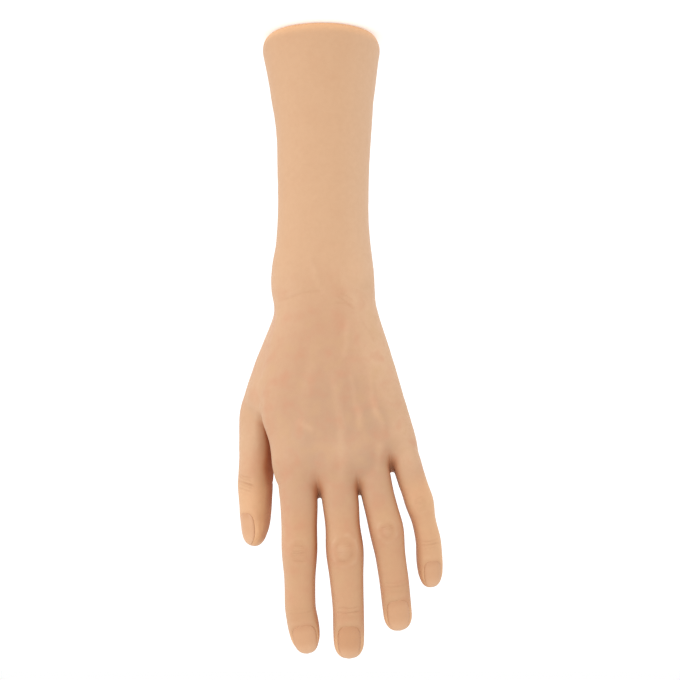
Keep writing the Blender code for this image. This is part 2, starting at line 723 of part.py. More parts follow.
def build_palm(wrist):
    """The hand frame with its forks, and the silicone of the palm round it."""
    frame = keep(joined(hand_frame_bars(0.0), "frame_union"), "hand_frame", LOOKS["link"], wrist)
    place = wrist_place()
    half, deep = WRIST_TONGUE_WIDTH / 2, BAR_DEPTH / 2
    reach = WRIST_EYE_RADIUS + HUB_START + BAR_OVERLAP
    tongue = box("wrist_tongue", (-half, -deep, 0.0), (half, deep, reach), place)
    cut(frame, cutter(tongue, "wrist_tongue"), "UNION")
    eye = rod("wrist_tongue_eye", WRIST_EYE_RADIUS - GAP, -half, half, ROD_SIDES, along_x(place))
    cut(frame, cutter(eye, "wrist_tongue_eye"), "UNION")
    bore = rod(
        "tongue_bore", WRIST_PIN_RADIUS + PIN_GAP, -half - MM, half + MM, WRIST_SIDES, along_x(place)
    )
    cut(frame, cutter(bore, "tongue_bore"))
    for digit in DIGITS:
        for tool in fork_cuts(digit.fork_place(0), f"{digit.name}_frame"):
            cut(frame, tool)

    low = WRIST_HEIGHT + WRIST_COLLAR + GAP
    mesh = trunk_loft(low, TRUNK[-1][0] * MM, "palm_skin")
    palm = keep(mesh, "palm_skin", LOOKS["skin"], wrist)
    cut(palm, cutter(thumb_base(), "thumb_base"), "UNION")
    below = box("below_palm", (-CUT_REACH, -CUT_REACH, 0.0), (CUT_REACH, CUT_REACH, low))
    cut(palm, cutter(below, "below_palm"))
    for lane in finger_lanes():
        cut(palm, lane)
    room = cutter(joined(hand_frame_bars(GAP), "room_union"), "frame_room")
    cut(palm, room)
    half, deep = WRIST_FORK_WIDTH / 2 + GAP, BAR_DEPTH / 2 + GAP
    hub_room = box("hub_room", (-half, -deep, 0.0), (half, deep, reach), place)
    cut(palm, cutter(hub_room, "hub_room"))


def finger_lanes():
    """What is cut from the palm for the root collar of each finger: a block whose floor is
    square to the finger, and which reaches half way to the neighbours and a little past."""
    fingers = DIGITS[:-1]
    made = []
    for i, digit in enumerate(fingers):
        sides = []
        for other in (i - 1, i + 1):
            if 0 <= other < len(fingers):
                apart = (fingers[other].points[0] - digit.points[0]).dot(digit.across)
                sides.append(abs(apart) / 2 + LANE_OVERLAP)
            else:
                sides.append(CUT_REACH)
        name = f"{digit.name}_lane"
        floor = -digit.collars[0] - GAP
        low, high = (-sides[0], -CUT_REACH, floor), (sides[1], CUT_REACH, CUT_REACH)
        made.append(cutter(box(name, low, high, digit.fork_place(0)), name))
    return made


def thumb_base():
    """The ball of the thumb, from the wrist to the thumb's root joint."""
    digit = DIGITS[-1]
    points = [Vector(p) * MM for p in THUMB_BASE]
    points.append(digit.points[0] - digit.ways[0] * (digit.collars[0] + GAP))
    ways = [points[1] - points[0], points[2] - points[0], points[3] - points[1], digit.ways[0]]
    sizes = [*THUMB_BASE_SIZES, (THUMB_WIDTHS[0], THUMB_DEPTHS[0])]
    rings = []
    for centre, way, (width, depth) in zip(points, ways, sizes):
        across = square_to(digit.across, way)
        frame = (centre, across, way.normalized().cross(across))
        rings.append(section(frame, digit_reach(width * MM, depth * MM), FINGER_SIDES))
    return loft(rings, "thumb_base")


def build_digit(digit, wrist):
    """All the pieces of a finger or thumb past its root joint."""
    lengths = LENGTH_LABELS[len(digit.lengths)]
    joints = JOINT_LABELS[len(digit.lengths)]
    last = len(digit.lengths) - 1
    rooms = [link_room(digit, part) for part in range(last + 1)]
    hinge = wrist
    for part in range(last + 1):
        lower = hinge
        hinge = hinge_empty(f"{digit.name}_{joints[part]}_hinge", digit.points[part], lower)
        mesh = digit.fingertip() if part == last else digit.pad(part)
        pad = keep(mesh, f"{digit.name}_{lengths[part]}_pad", LOOKS["skin"], hinge)
        cut(pad, rooms[part])
        if part == last:
            bed = cutter(nail_mesh(digit, f"{digit.name}_nail_bed", GAP), f"{digit.name}_nail_bed")
            cut(pad, bed)
        name = f"{digit.name}_{joints[part]}_collar"
        ring = keep(digit.collar(part), name, LOOKS["skin"], lower)
        cut(ring, rooms[part])
        cut(ring, rooms[part - 1] if part else root_room(digit))
        link(digit, part, hinge)
    nail = nail_mesh(digit, f"{digit.name}_nail")
    keep(nail, f"{digit.name}_nail", LOOKS["nail"], hinge)


def print_hinges():
    """Prints each hinge's place and line, for whoever describes the joints."""
    print("hinge wrist", (0.0, 0.0, WRIST_HEIGHT), (-1.0, 0.0, 0.0))
    for digit in DIGITS:
        for joint, label in enumerate(JOINT_LABELS[len(digit.lengths)]):
            line = square_to(digit.across, digit.ways[joint + 1])
            print(f"hinge {digit.name}_{label}", tuple(digit.points[joint]), tuple(line))


LENGTH_LABELS = {3: ("lower", "middle", "tip"), 2: ("lower", "tip")}
JOINT_LABELS = {3: ("root", "knuckle", "end"), 2: ("root", "knuckle")}

clear_scene()
PARTS = new_collection("practice_hand")
CUTTERS = new_collection("cutters", hidden=True)
LOOKS = {
    "skin": material("skin_silicone", SKIN_COLOUR, 0.55),
    "nail": material("nail_silicone", NAIL_COLOUR, 0.4),
    "link": material("moulded_nylon", LINK_COLOUR, 0.5),
    "steel": material("plated_steel", STEEL_COLOUR, 0.3, 1.0),
    "foam": material("rigid_foam", FOAM_COLOUR, 0.9),
    "disc": material("base_plastic", DISC_COLOUR, 0.6),
}
DIGITS = [finger(name) for name in FINGERS] + [thumb()]
BASE = bpy.data.objects.new("practice_hand_base", None)
PARTS.objects.link(BASE)
WRIST = hinge_empty("wrist_hinge", (0, 0, WRIST_HEIGHT), BASE)
build_forearm(BASE)
build_wrist(BASE)
build_palm(WRIST)
for each in DIGITS:
    build_digit(each, WRIST)
print_hinges()
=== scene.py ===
import json
import logging
import math
from dataclasses import dataclass, field, fields
from enum import Enum

import bmesh
import bpy
import numpy as np
from mathutils import Matrix, Vector

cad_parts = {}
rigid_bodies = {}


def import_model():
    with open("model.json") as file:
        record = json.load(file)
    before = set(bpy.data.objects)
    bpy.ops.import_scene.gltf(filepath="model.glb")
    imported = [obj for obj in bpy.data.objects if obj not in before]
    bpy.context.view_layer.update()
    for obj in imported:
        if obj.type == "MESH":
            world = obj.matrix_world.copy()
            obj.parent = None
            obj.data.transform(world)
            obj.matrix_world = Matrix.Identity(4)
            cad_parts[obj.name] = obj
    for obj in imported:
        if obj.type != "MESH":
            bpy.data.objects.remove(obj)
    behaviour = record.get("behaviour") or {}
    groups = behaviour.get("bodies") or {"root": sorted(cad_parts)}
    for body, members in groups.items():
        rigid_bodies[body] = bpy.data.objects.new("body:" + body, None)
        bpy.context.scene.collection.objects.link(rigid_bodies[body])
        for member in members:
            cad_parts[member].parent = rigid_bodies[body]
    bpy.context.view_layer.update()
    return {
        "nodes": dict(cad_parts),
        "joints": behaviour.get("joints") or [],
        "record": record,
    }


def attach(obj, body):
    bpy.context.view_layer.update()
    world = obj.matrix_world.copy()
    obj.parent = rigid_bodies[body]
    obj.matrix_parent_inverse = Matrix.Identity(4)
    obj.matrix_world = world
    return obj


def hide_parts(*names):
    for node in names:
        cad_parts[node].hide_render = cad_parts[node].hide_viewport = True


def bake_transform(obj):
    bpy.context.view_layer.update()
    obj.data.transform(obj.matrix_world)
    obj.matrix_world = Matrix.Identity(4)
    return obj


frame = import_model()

# A practice hand for tattooing, dressed: the silicone skin, the nails and what is inside.
# Shapes are worked out in millimetres in the frame of the solid model: +Z up the arm to the
# fingertips, +X to the thumb side, -Y to the back of the hand. Meshes are in metres.
# A pair such as FACING holds the two values between which something comes or goes.

MM = 0.001
Array = np.ndarray
LOG = logging.getLogger("practice_hand")


class Side(Enum):
    """The two faces of a hand."""

    BACK = -1.0
    PALM = 1.0


# Small formulas


def unit(vectors: Array) -> Array:
    """Vectors scaled to length one."""
    return vectors / np.linalg.norm(vectors, axis=-1, keepdims=True)


def rise(x: Array, low: float, high: float) -> Array:
    """A smooth step: 0 up to low, 1 from high, and 3t² - 2t³ between."""
    t = np.clip((x - low) / (high - low), 0.0, 1.0)
    return t * t * (3.0 - 2.0 * t)


def fall(x: Array, low: float, high: float) -> Array:
    """A smooth step down: 1 up to low and 0 from high."""
    return 1 - rise(x, low, high)


def hill(x: Array, width: float) -> Array:
    """A round hill of height one at x = 0: e to the power -(x / width)²."""
    return np.exp(-((x / width) ** 2))


def turns(count: int) -> Array:
    """Angles of even steps round a full turn."""
    return 2 * math.pi * np.arange(count) / count


def oval(c: Array, s: Array, rx: Array, ry: Array, n: Array) -> Array:
    """Radius of a superellipse in the direction (c, s): 1 over the n-th root of
    |c / rx|^n + |s / ry|^n."""
    return ((np.abs(c) / rx) ** n + (np.abs(s) / ry) ** n) ** (-1 / n)


def places(verts: object) -> Array:
    """Where vertices are, one row each."""
    return np.array([v.co for v in verts])


def merge(a: Array, b: Array, soft: Array | float) -> Array:
    """The distance to two bodies that have grown together.

    The lower of both distances, less soft·h·(1 - h), where h goes from 0 to 1 as b rises
    from soft below a to soft above it. That fills the corner between the bodies.

    Args:
        a: Signed distance to one body.
        b: Signed distance to the other.
        soft: Size of the fillet between them.

    Returns:
        The signed distance to both as one.
    """
    h = np.clip(0.5 + 0.5 * (b - a) / soft, 0.0, 1.0)
    return b + (a - b) * h - soft * h * (1.0 - h)


def meet(a: Array, b: Array, soft: float) -> Array:
    """The distance to what two bodies share, with a rounded edge: merge, turned inside out."""
    return -merge(-a, -b, soft)


def curve(xs: Array, ys: Array, x: Array) -> Array:
    """A smooth curve through points: cubic pieces whose slopes are those of the neighbours.

    Args:
        xs: Places of the points, rising.
        ys: Their values, one row for each place.
        x: Where the curve is wanted; it is level past both ends.

    Returns:
        The values there.
    """
    slopes = np.gradient(ys, xs, axis=0)
    x = np.clip(x, xs[0], xs[-1])
    i = np.clip(np.searchsorted(xs, x) - 1, 0, len(xs) - 2)
    width = xs[i + 1] - xs[i]
    t = (x - xs[i]) / width
    if ys.ndim > 1:
        t, width = t[:, None], width[:, None]
    t2, t3 = t * t, t * t * t
    low = ys[i] * (2 * t3 - 3 * t2 + 1) + slopes[i] * width * (t3 - 2 * t2 + t)
    high = ys[i + 1] * (3 * t2 - 2 * t3) + slopes[i + 1] * width * (t3 - t2)
    return low + high


def ripple(points: Array, pitch: float, phase: float = 0.0) -> Array:
    """A swell that looks random, from about -1 to 1: the sum of six sine waves over three,
    whose directions turn by the golden angle and whose pitches differ a little.

    Args:
        points: Places, one row each.
        pitch: Length of the waves.
        phase: Makes one swell unlike another.

    Returns:
        The height of the swell at each place.
    """
    total = np.zeros(len(points))
    for k in range(6):
        turn, tilt = 2.4 * k + phase, math.sin(1.9 * k + phase)
        level = math.sqrt(1.0 - 0.8 * tilt * tilt)
        way = np.array([math.cos(turn) * level, math.sin(turn) * level, 0.9 * tilt])
        total += np.sin(points @ way * (2 * math.pi / pitch * (1 + 0.13 * k)) + 1.7 * k + phase)
    return total / 3.0


def to_line(x: Array, z: Array, points: tuple) -> tuple[Array, Array]:
    """How far places in the plane of the palm lie from a drawn line.

    Args:
        x: One coordinate of the places.
        z: The other.
        points: The line's points as (x, z), joined by straight steps.

    Returns:
        The distance of each place, and its share of the way along the line.
    """
    corners = np.array(points, float)
    steps = np.linalg.norm(np.diff(corners, axis=0), axis=1)
    best = np.full(len(x), 1e6)
    share = np.zeros(len(x))
    done = 0.0
    for a, b, length in zip(corners, corners[1:], steps):
        way = (b - a) / length
        t = np.clip((x - a[0]) * way[0] + (z - a[1]) * way[1], 0.0, length)
        gap = np.hypot(x - a[0] - t * way[0], z - a[1] - t * way[1])
        near = gap < best
        best = np.where(near, gap, best)
        share = np.where(near, (done + t) / steps.sum(), share)
        done += length
    return best, share


# The shape of the skin


@dataclass(frozen=True)
class Fold:
    """One crease across a digit, measured from the joint that it belongs to."""

    place: float
    depth: float
    width: float
    span: float
    bow: float


KNUCKLE_FOLDS = (
    Fold(-5.4, 0.06, 0.45, 3.0, -0.5),
    Fold(-2.9, 0.15, 0.38, 2.6, -0.2),
    Fold(-1.8, 0.20, 0.36, 3.0, -0.1),
    Fold(-0.7, 0.22, 0.36, 3.2, 0.0),
    Fold(0.4, 0.20, 0.36, 3.0, 0.1),
    Fold(1.5, 0.15, 0.38, 2.6, 0.1),
    Fold(4.4, 0.08, 0.45, 3.4, 0.5),
)
END_FOLDS = (
    Fold(-1.0, 0.20, 0.42, 5.0, -0.2),
    Fold(1.0, 0.24, 0.45, 5.6, 0.1),
    Fold(3.4, 0.10, 0.50, 3.4, 0.3),
)
THUMB_FOLDS = (
    Fold(-4.8, 0.14, 0.50, 3.6, -0.4),
    Fold(-3.0, 0.22, 0.50, 5.0, -0.3),
    Fold(-1.1, 0.28, 0.52, 5.6, -0.1),
    Fold(0.7, 0.30, 0.55, 5.8, 0.1),
    Fold(2.5, 0.22, 0.50, 4.6, 0.3),
    Fold(4.6, 0.12, 0.50, 3.6, 0.5),
)
PALM_ROOT_FOLDS = (Fold(3.4, 0.55, 0.7, 11.0, 0.5),)
PALM_KNUCKLE_FOLDS = (Fold(-1.0, 0.55, 0.6, 9.0, 0.3), Fold(1.2, 0.45, 0.6, 9.0, -0.3))
PALM_END_FOLDS = (Fold(-0.2, 0.5, 0.6, 9.0, 0.2),)

# Sections and box of a digit
TIP_MARK = 0.2  # the last section lies this share of the last length short of the tip
BOX_MARGIN = 1.2  # room round the spine in the digit's box, in greatest widths

# Relief of the digits
WIDE_TIP = 15.0  # width near the tip of the finger that the folds are drawn for
BOW_REACH = 5.0  # distance from its middle at which a fold has moved by its bow
FOLD_ENDS = (-2.0, 1.5)  # a fold ends between these distances from its span
JOINT_SWELL, END_SWELL, SWELL_LENGTH = 0.35, 0.15, 5.5
PAD_HEIGHT, PAD_SHARE, TIP_PAD_SHIFT = 0.7, 0.34, 1.5
RING_LINE, RING_WIDTH = 0.14, 0.85
RING_CORE, CORE_SHIFT, CORE_SIZE = 0.16, 0.22, 0.34
RING_GROOVE, GROOVE_PLACE, GROOVE_SIZE = 0.30, 0.56, 0.18
NAIL_BED, NAIL_WALL, NAIL_LINE = 0.34, 0.15, 0.06
NAIL_ROOT_POWER, NAIL_TIP_POWER = 3.0, 2.2
NAIL_TO_TIP = 0.9
FACING = (0.05, 0.55)  # span of the cosine from a digit's side to its back or palm

# Relief is put only near the surface, where it fades over this span of the distance
SKIN_DEPTH = (2.0, 5.0)


class Spine:
    """The centre line of a digit with its section frames, sampled at even steps.

    The line runs straight between the corners, and each of its points is then the weighted
    mean of the line for ROUNDING to both sides, which rounds the corners off.
    """

    STEP = 0.5
    ROUNDING = 6.0
    MARGIN = 40.0

    def __init__(self, corners: Array, zero: int, hinge: Array) -> None:
        """Works out the line.

        Args:
            corners: Points of the line, from its foot to its tip.
            zero: Which of them is at station 0.
            hinge: Direction of the digit's hinge line.
        """
        before = corners[0] - unit(corners[1] - corners[0]) * self.MARGIN
        after = corners[-1] + unit(corners[-1] - corners[-2]) * self.MARGIN
        points = np.vstack([before, corners, after])
        marks = np.concatenate([[0.0], np.cumsum(np.linalg.norm(np.diff(points, axis=0), axis=1))])
        marks -= marks[zero + 1]
        self.marks = marks[1:-1]
        stations = np.arange(marks[0], marks[-1], self.STEP)
        line = np.stack([np.interp(stations, marks, points[:, i]) for i in range(3)], axis=1)
        reach = int(self.ROUNDING / self.STEP)
        weights = np.cos(np.linspace(-math.pi / 2, math.pi / 2, 2 * reach + 1)) ** 2
        weights /= weights.sum()
        self.line = np.stack([np.convolve(line[:, i], weights, "valid") for i in range(3)], axis=1)
        self.first = stations[reach]
        self.along = unit(np.gradient(self.line, axis=0))
        self.across = unit(hinge - (self.along @ hinge)[:, None] * self.along)
        self.back = np.cross(self.along, self.across)

    def at(self, values: Array, station: Array) -> Array:
        """Reads sampled values at stations, in straight steps."""
        place = np.clip((station - self.first) / self.STEP, 0, len(values) - 1.001)
        low = place.astype(int)
        part = place - low
        if values.ndim > 1:
            part = part[:, None]
        return values[low] * (1 - part) + values[low + 1] * part

    def centre(self, station: Array) -> Array:
        """Points of the line at stations."""
        return self.at(self.line, station)

    def way(self, station: Array) -> Array:
        """Directions along the line at stations."""
        return self.at(self.along, station)

    def out(self, station: Array, turn: Array) -> Array:
        """Directions away from the line: back·cos + across·sin of an angle."""
        back, across = self.at(self.back, station), self.at(self.across, station)
        return unit(back * np.cos(turn)[:, None] + across * np.sin(turn)[:, None])

    def locate(self, points: Array) -> tuple[Array, Array, Array]:
        """Finds places against the line, by stepping to where the line is square to them.

        Args:
            points: Places, one row each.

        Returns:
            The station of each place, and how far it lies across and to the back.
        """
        chord = unit(self.line[-1] - self.line[0])
        station = self.first + (points - self.line[0]) @ chord
        for _ in range(4):
            offset = points - self.centre(station)
            station = station + (offset * self.way(station)).sum(axis=1)
        offset = points - self.centre(station)
        across = (offset * self.at(self.across, station)).sum(axis=1)
        back = (offset * self.at(self.back, station)).sum(axis=1)
        return station, across, back


@dataclass
class Reading:
    """What a digit finds out about places near it."""

    gap: Array
    station: Array
    across: Array
    back: Array
    width: Array
    height: Array


@dataclass
class Digit:
    """A finger or thumb as a shape: superelliptic sections on a spine, with a domed tip.

    Widths and depths are given at the deep points, which lie in the palm, at each joint and
    midway to the next one or the tip, and near the tip. The shifts move the spine off the
    joints and the tip, across the palm. The ring is the oval on the middle joint: half its
    width and length, how clearly it shows, and the share of the knuckle folds. Bright is how
    much lighter the digit is, partly a paler tint of its own and partly painted light that
    lifts its shaded side: its share, where it starts and where it is full.
    """

    name: str
    deep: tuple
    widths: tuple
    depths: tuple
    shifts: tuple
    seam: float
    nail_size: tuple
    ring: tuple
    end_share: float = 0.5
    skew: float = 0.0
    longer: float = 0.0
    nail_turn: float = 0.0
    nail_pale: float = 0.0
    bright: tuple = (0.0, 0.0, 1.0)
    dome: float = 10.0
    nail_dome: float = 6.5
    palm_share: float = 0.53
    squareness: float = 2.15
    foot_length: float = 14.0
    spine: Spine = field(init=False)

    def __post_init__(self) -> None:
        """Reads the joints from the frame and samples the sections along the spine."""
        self.joints = [j for j in frame["joints"] if j["name"].startswith(self.name + "_")]
        points = np.array([j["pos_m"] for j in self.joints]) / MM
        tips = places(frame["nodes"][self.name + "_tip_pad"].data.vertices) / MM
        tip = tips[np.argmax(np.linalg.norm(tips - points[-1], axis=1))]
        tip = tip + unit(tip - points[-1]) * self.longer
        points = np.vstack([points, tip])
        points[:, 0] += self.shifts
        corners = np.vstack([np.array(self.deep, float), points])
        self.spine = Spine(corners, len(self.deep), np.array(self.joints[0]["axis"], float))
        marks = self.spine.marks
        self.stations = marks[len(self.deep):-1]
        self.length = marks[-1]
        spots = list(marks[:len(self.deep)])
        lengths = marks[len(self.deep):]
        for low, high in zip(lengths, lengths[1:]):
            spots += [low, (low + high) / 2]
        spots.append(self.length - TIP_MARK * (lengths[-1] - lengths[-2]))
        samples = self.spine.first + self.spine.STEP * np.arange(len(self.spine.line))
        self.half = curve(np.array(spots), np.array(self.widths) / 2, samples)
        self.deep_half = curve(np.array(spots), np.array(self.depths), samples)
        margin = BOX_MARGIN * max(self.widths)
        line = np.vstack([corners, self.spine.centre(np.array([marks[0] - self.foot_length]))])
        self.low, self.high = line.min(axis=0) - margin, line.max(axis=0) + margin

    @property
    def is_thumb(self) -> bool:
        """Whether this is the digit with only two joints."""
        return len(self.joints) == 2

    def near(self, points: Array) -> Array:
        """Which places lie in the box round the digit."""
        return np.flatnonzero(((points > self.low) & (points < self.high)).all(axis=1))

    def reach(self, station: Array) -> tuple[Array, Array, Array]:
        """Half the width at stations, and the reach to the back and to the palm."""
        depth = self.spine.at(self.deep_half, station)
        half = self.spine.at(self.half, station)
        return half, depth * (1 - self.palm_share), depth * self.palm_share

    def read(self, points: Array) -> Reading:
        """Finds places against the digit.

        A place's size r comes from (|across| / half width)^n + (|back| / reach)^n + e^n = r^n,
        where e rises from 0 to 1 along the domed end. The gap is (r - 1) over the slope of r.

        Args:
            points: Places, one row each.

        Returns:
            The gap to the surface of each place, negative inside, and where it lies.
        """
        station, across, back = self.spine.locate(points)
        half, dorsal, palmar = self.reach(station)
        height = np.where(back > 0, dorsal, palmar)
        dome = self.dome_length(np.arctan2(across / half, back / height))
        past = np.maximum(station - (self.length - dome), 0) / dome
        before = np.maximum(self.spine.marks[0] - station, 0) / self.foot_length
        n = self.squareness
        shares = np.stack([np.abs(across) / half, np.abs(back) / height, past + before])
        powers = np.maximum(shares, 1e-6) ** (n - 1)
        size = np.maximum((powers * shares).sum(axis=0), 1e-9) ** (1 / n)
        end = np.where(past > 0, dome, self.foot_length)
        slope = np.sqrt((powers[0] / half) ** 2 + (powers[1] / height) ** 2 + (powers[2] / end) ** 2)
        slope *= size ** (1 - n)
        return Reading((size - 1) / slope, station, across, back, half, height)

    def dome_length(self, turn: Array) -> Array:
        """Length of the domed end, which is shorter at the back, over the nail."""
        share = rise(np.cos(turn), -0.3, 0.9)
        return self.dome * (1 - share) + self.nail_dome * share

    def section_radius(self, station: Array, turn: Array, droop: float = 1.0) -> Array:
        """How far the plain surface lies from the spine: r where r·cos and r·sin of the turn
        fill what the domed end leaves of the superellipse.

        Args:
            station: Where on the spine.
            turn: Angle from the back, towards the hinge direction.
            droop: Share of the dome's fall that is followed.

        Returns:
            The radius.
        """
        half, dorsal, palmar = self.reach(station)
        c, s = np.cos(turn), np.sin(turn)
        height = np.where(c > 0, dorsal, palmar)
        n = self.squareness
        dome = self.dome_length(np.arctan2(s / half, c / height))
        end = np.clip((station - self.length + dome) / dome * droop, 0, 0.999)
        return oval(s, c, half, height, n) * (1 - end ** n) ** (1 / n)

    def on_nail(self, station: Array, turn: Array, girth: Array) -> tuple[Array, Array]:
        """Where places lie against the nail, whose outline is |u|^m + |v|^m = 1 with m greater
        at its root, where it is squarer, than at its free edge.

        Args:
            station: Where on the spine.
            turn: Angle from the back.
            girth: Radius of the section there.

        Returns:
            The share along it, v, and how far outside the outline, negative on the nail.
        """
        width, length = self.nail_size
        start, end = self.nail_span()
        u = (turn - self.nail_turn) * girth / (width / 2)
        v = (station - (start + end) / 2) / (length / 2)
        m = np.where(v < 0, NAIL_ROOT_POWER, NAIL_TIP_POWER)
        size = (np.abs(u) ** m + np.abs(v) ** m) ** (1 / m)
        return v, (size - 1) * width / 2

    def nail_span(self) -> tuple[float, float]:
        """Stations of the nail's root and of its free edge."""
        end = self.length - NAIL_TO_TIP
        return end - self.nail_size[1], end

    def folds_at(self, joint: int) -> tuple[tuple, tuple, float]:
        """The folds over a joint at the back and in the palm, and the share of the first."""
        if joint == 0:
            return (), PALM_ROOT_FOLDS, 1.0
        if joint < len(self.joints) - 1:
            return KNUCKLE_FOLDS, PALM_KNUCKLE_FOLDS, self.ring[3]
        return THUMB_FOLDS if self.is_thumb else END_FOLDS, PALM_END_FOLDS, self.end_share

    def relief(self, read: Reading, points: Array) -> tuple[Array, Array, Array]:
        """The folds, pads and nail bed of the digit.

        Args:
            read: What the digit found out about the places.
            points: The places.

        Returns:
            How far the skin stands out there, how deep the folds in it are, and how strong the
            highlight painted on its ridges is.
        """
        turn = np.arctan2(read.across / read.width, read.back / read.height)
        facing = np.cos(turn)
        girth = (read.width + read.height) / 2
        side = turn * girth
        around = (np.abs(turn) - math.pi) * girth
        s = read.station
        dorsal, palmar = rise(facing, *FACING), rise(-facing, *FACING)
        wobble = 0.2 * ripple(points, 8.0, self.length) + 0.08 * ripple(points, 2.1, 2.0)
        drawn = np.stack([0.3 * side, np.zeros(len(s)), s], axis=1)
        uneven = np.clip(0.8 + 0.6 * ripple(drawn, 4.4, 1.0), 0, 1.5)
        size = self.widths[-1] / WIDE_TIP
        last = len(self.stations) - 1
        groove, height, pale = np.zeros((3, len(s)))
        for joint, mark in enumerate(self.stations):
            back_folds, palm_folds, share = self.folds_at(joint)
            rows = [(fold, dorsal, side, share) for fold in back_folds]
            rows += [(fold, palmar, around, 1.0) for fold in palm_folds]
            for fold, mask, u, part in rows:
                bend = fold.place * size + fold.bow * (u / BOW_REACH) ** 2 * size + self.skew * u
                near = hill(s - mark - bend + wobble, fold.width)
                ends = fall(np.abs(u) - fold.span * size, *FOLD_ENDS)
                groove += part * fold.depth * near * ends * mask * uneven
            if joint:
                swell = JOINT_SWELL if joint < last or self.is_thumb else END_SWELL
                height += swell * hill(s - mark, SWELL_LENGTH) * rise(facing, 0.2, 1.0)
            if 0 < joint < last:
                across, along, strength, _ = self.ring
                out = np.hypot(side / across, (s - mark) / along)
                broken = np.clip(0.65 + 0.5 * ripple(points, 6.5, 5.0), 0.1, 1.1)
                line = strength * hill((out - 1 + 0.1 * wobble) * across, RING_WIDTH) * dorsal * broken
                inner = np.hypot(side / across + CORE_SHIFT, (s - mark) / along)
                core = strength * hill(inner, CORE_SIZE) * dorsal
                moat = hill(out - GROOVE_PLACE, GROOVE_SIZE)
                groove += RING_GROOVE * strength * moat * dorsal * (1.15 - broken)
                height += RING_LINE * line + RING_CORE * core
                # The ring's lines and core get a painted highlight.
                pale += 0.9 * line + 1.0 * core
        for low, high in zip(self.stations, [*self.stations[1:], self.length]):
            middle = (low + high) / 2 + (TIP_PAD_SHIFT if high == self.length else 0.0)
            height += PAD_HEIGHT * hill(s - middle, (high - low) * PAD_SHARE) * rise(-facing, 0.1, 1.0)
        along, edge = self.on_nail(s, turn, girth)
        near_tip = rise(s, self.stations[-1], self.stations[-1] + 3.0)
        near_tip *= rise(np.cos(turn - self.nail_turn), -0.3, 0.1)
        wall = hill(edge - 1.4, 1.2) * (1 - 0.9 * rise(along, 0.1, 0.7)) * near_tip
        height += NAIL_WALL * wall - NAIL_BED * fall(edge, -1.2, 0.3) * near_tip
        # A line of painted shade round the nail, where the plate meets the skin; paler nails get less of it.
        line = NAIL_LINE * (1 - self.nail_pale) * hill(edge, 0.7) * near_tip
        line *= 1 - 0.6 * rise(along, 0.3, 0.9)
        # The nail's wall gets a painted highlight too.
        return height - groove, groove + line, pale + 0.35 * wall


ARM_SECTIONS = (
    # height, reach to the thumb side, little side, back and palm, and squareness
    (0.0, 34.0, 33.0, 27.0, 26.4, 2.05),
    (5.0, 33.7, 32.7, 26.8, 26.2, 2.05),
    (14.0, 32.1, 31.4, 25.6, 25.2, 2.1),
    (24.0, 30.2, 30.1, 24.0, 23.8, 2.15),
    (38.0, 27.8, 28.6, 22.2, 22.6, 2.2),
    (52.0, 25.7, 27.6, 21.0, 21.6, 2.2),
    (80.0, 24.3, 26.0, 19.6, 20.2, 2.2),
    (107.0, 24.1, 25.8, 18.8, 19.2, 2.25),
    (121.0, 25.0, 26.8, 18.6, 18.8, 2.3),
    (133.0, 26.9, 28.1, 18.8, 18.4, 2.35),
    (146.0, 27.1, 28.7, 18.9, 18.0, 2.4),
    (152.0, 26.0, 29.2, 18.8, 18.0, 2.4),
    (160.0, 25.4, 31.0, 18.6, 18.4, 2.5),
    (172.0, 27.4, 34.8, 18.0, 18.6, 2.5),
    (186.0, 30.2, 39.0, 17.2, 18.0, 2.55),
    (201.0, 32.0, 43.2, 16.4, 16.8, 2.6),
    (216.0, 31.6, 47.4, 15.4, 15.2, 2.6),
    (230.0, 27.2, 49.8, 14.2, 14.0, 2.6),
    (243.0, 25.0, 52.8, 12.8, 12.8, 2.6),
    (254.0, 24.4, 57.0, 11.4, 11.8, 2.6),
    (262.0, 23.0, 60.0, 10.6, 11.2, 2.6),
)
WEB_LINE = (
    # place across the palm, and height of the skin between the fingers there
    (-62.0, 232.0),
    (-50.0, 236.0),
    (-37.0, 244.4),
    (-33.0, 247.0),
    (-29.0, 249.6),
    (-20.7, 256.2),
    (-10.0, 257.2),
    (0.5, 258.2),
    (14.0, 255.0),
    (32.0, 250.0),
)


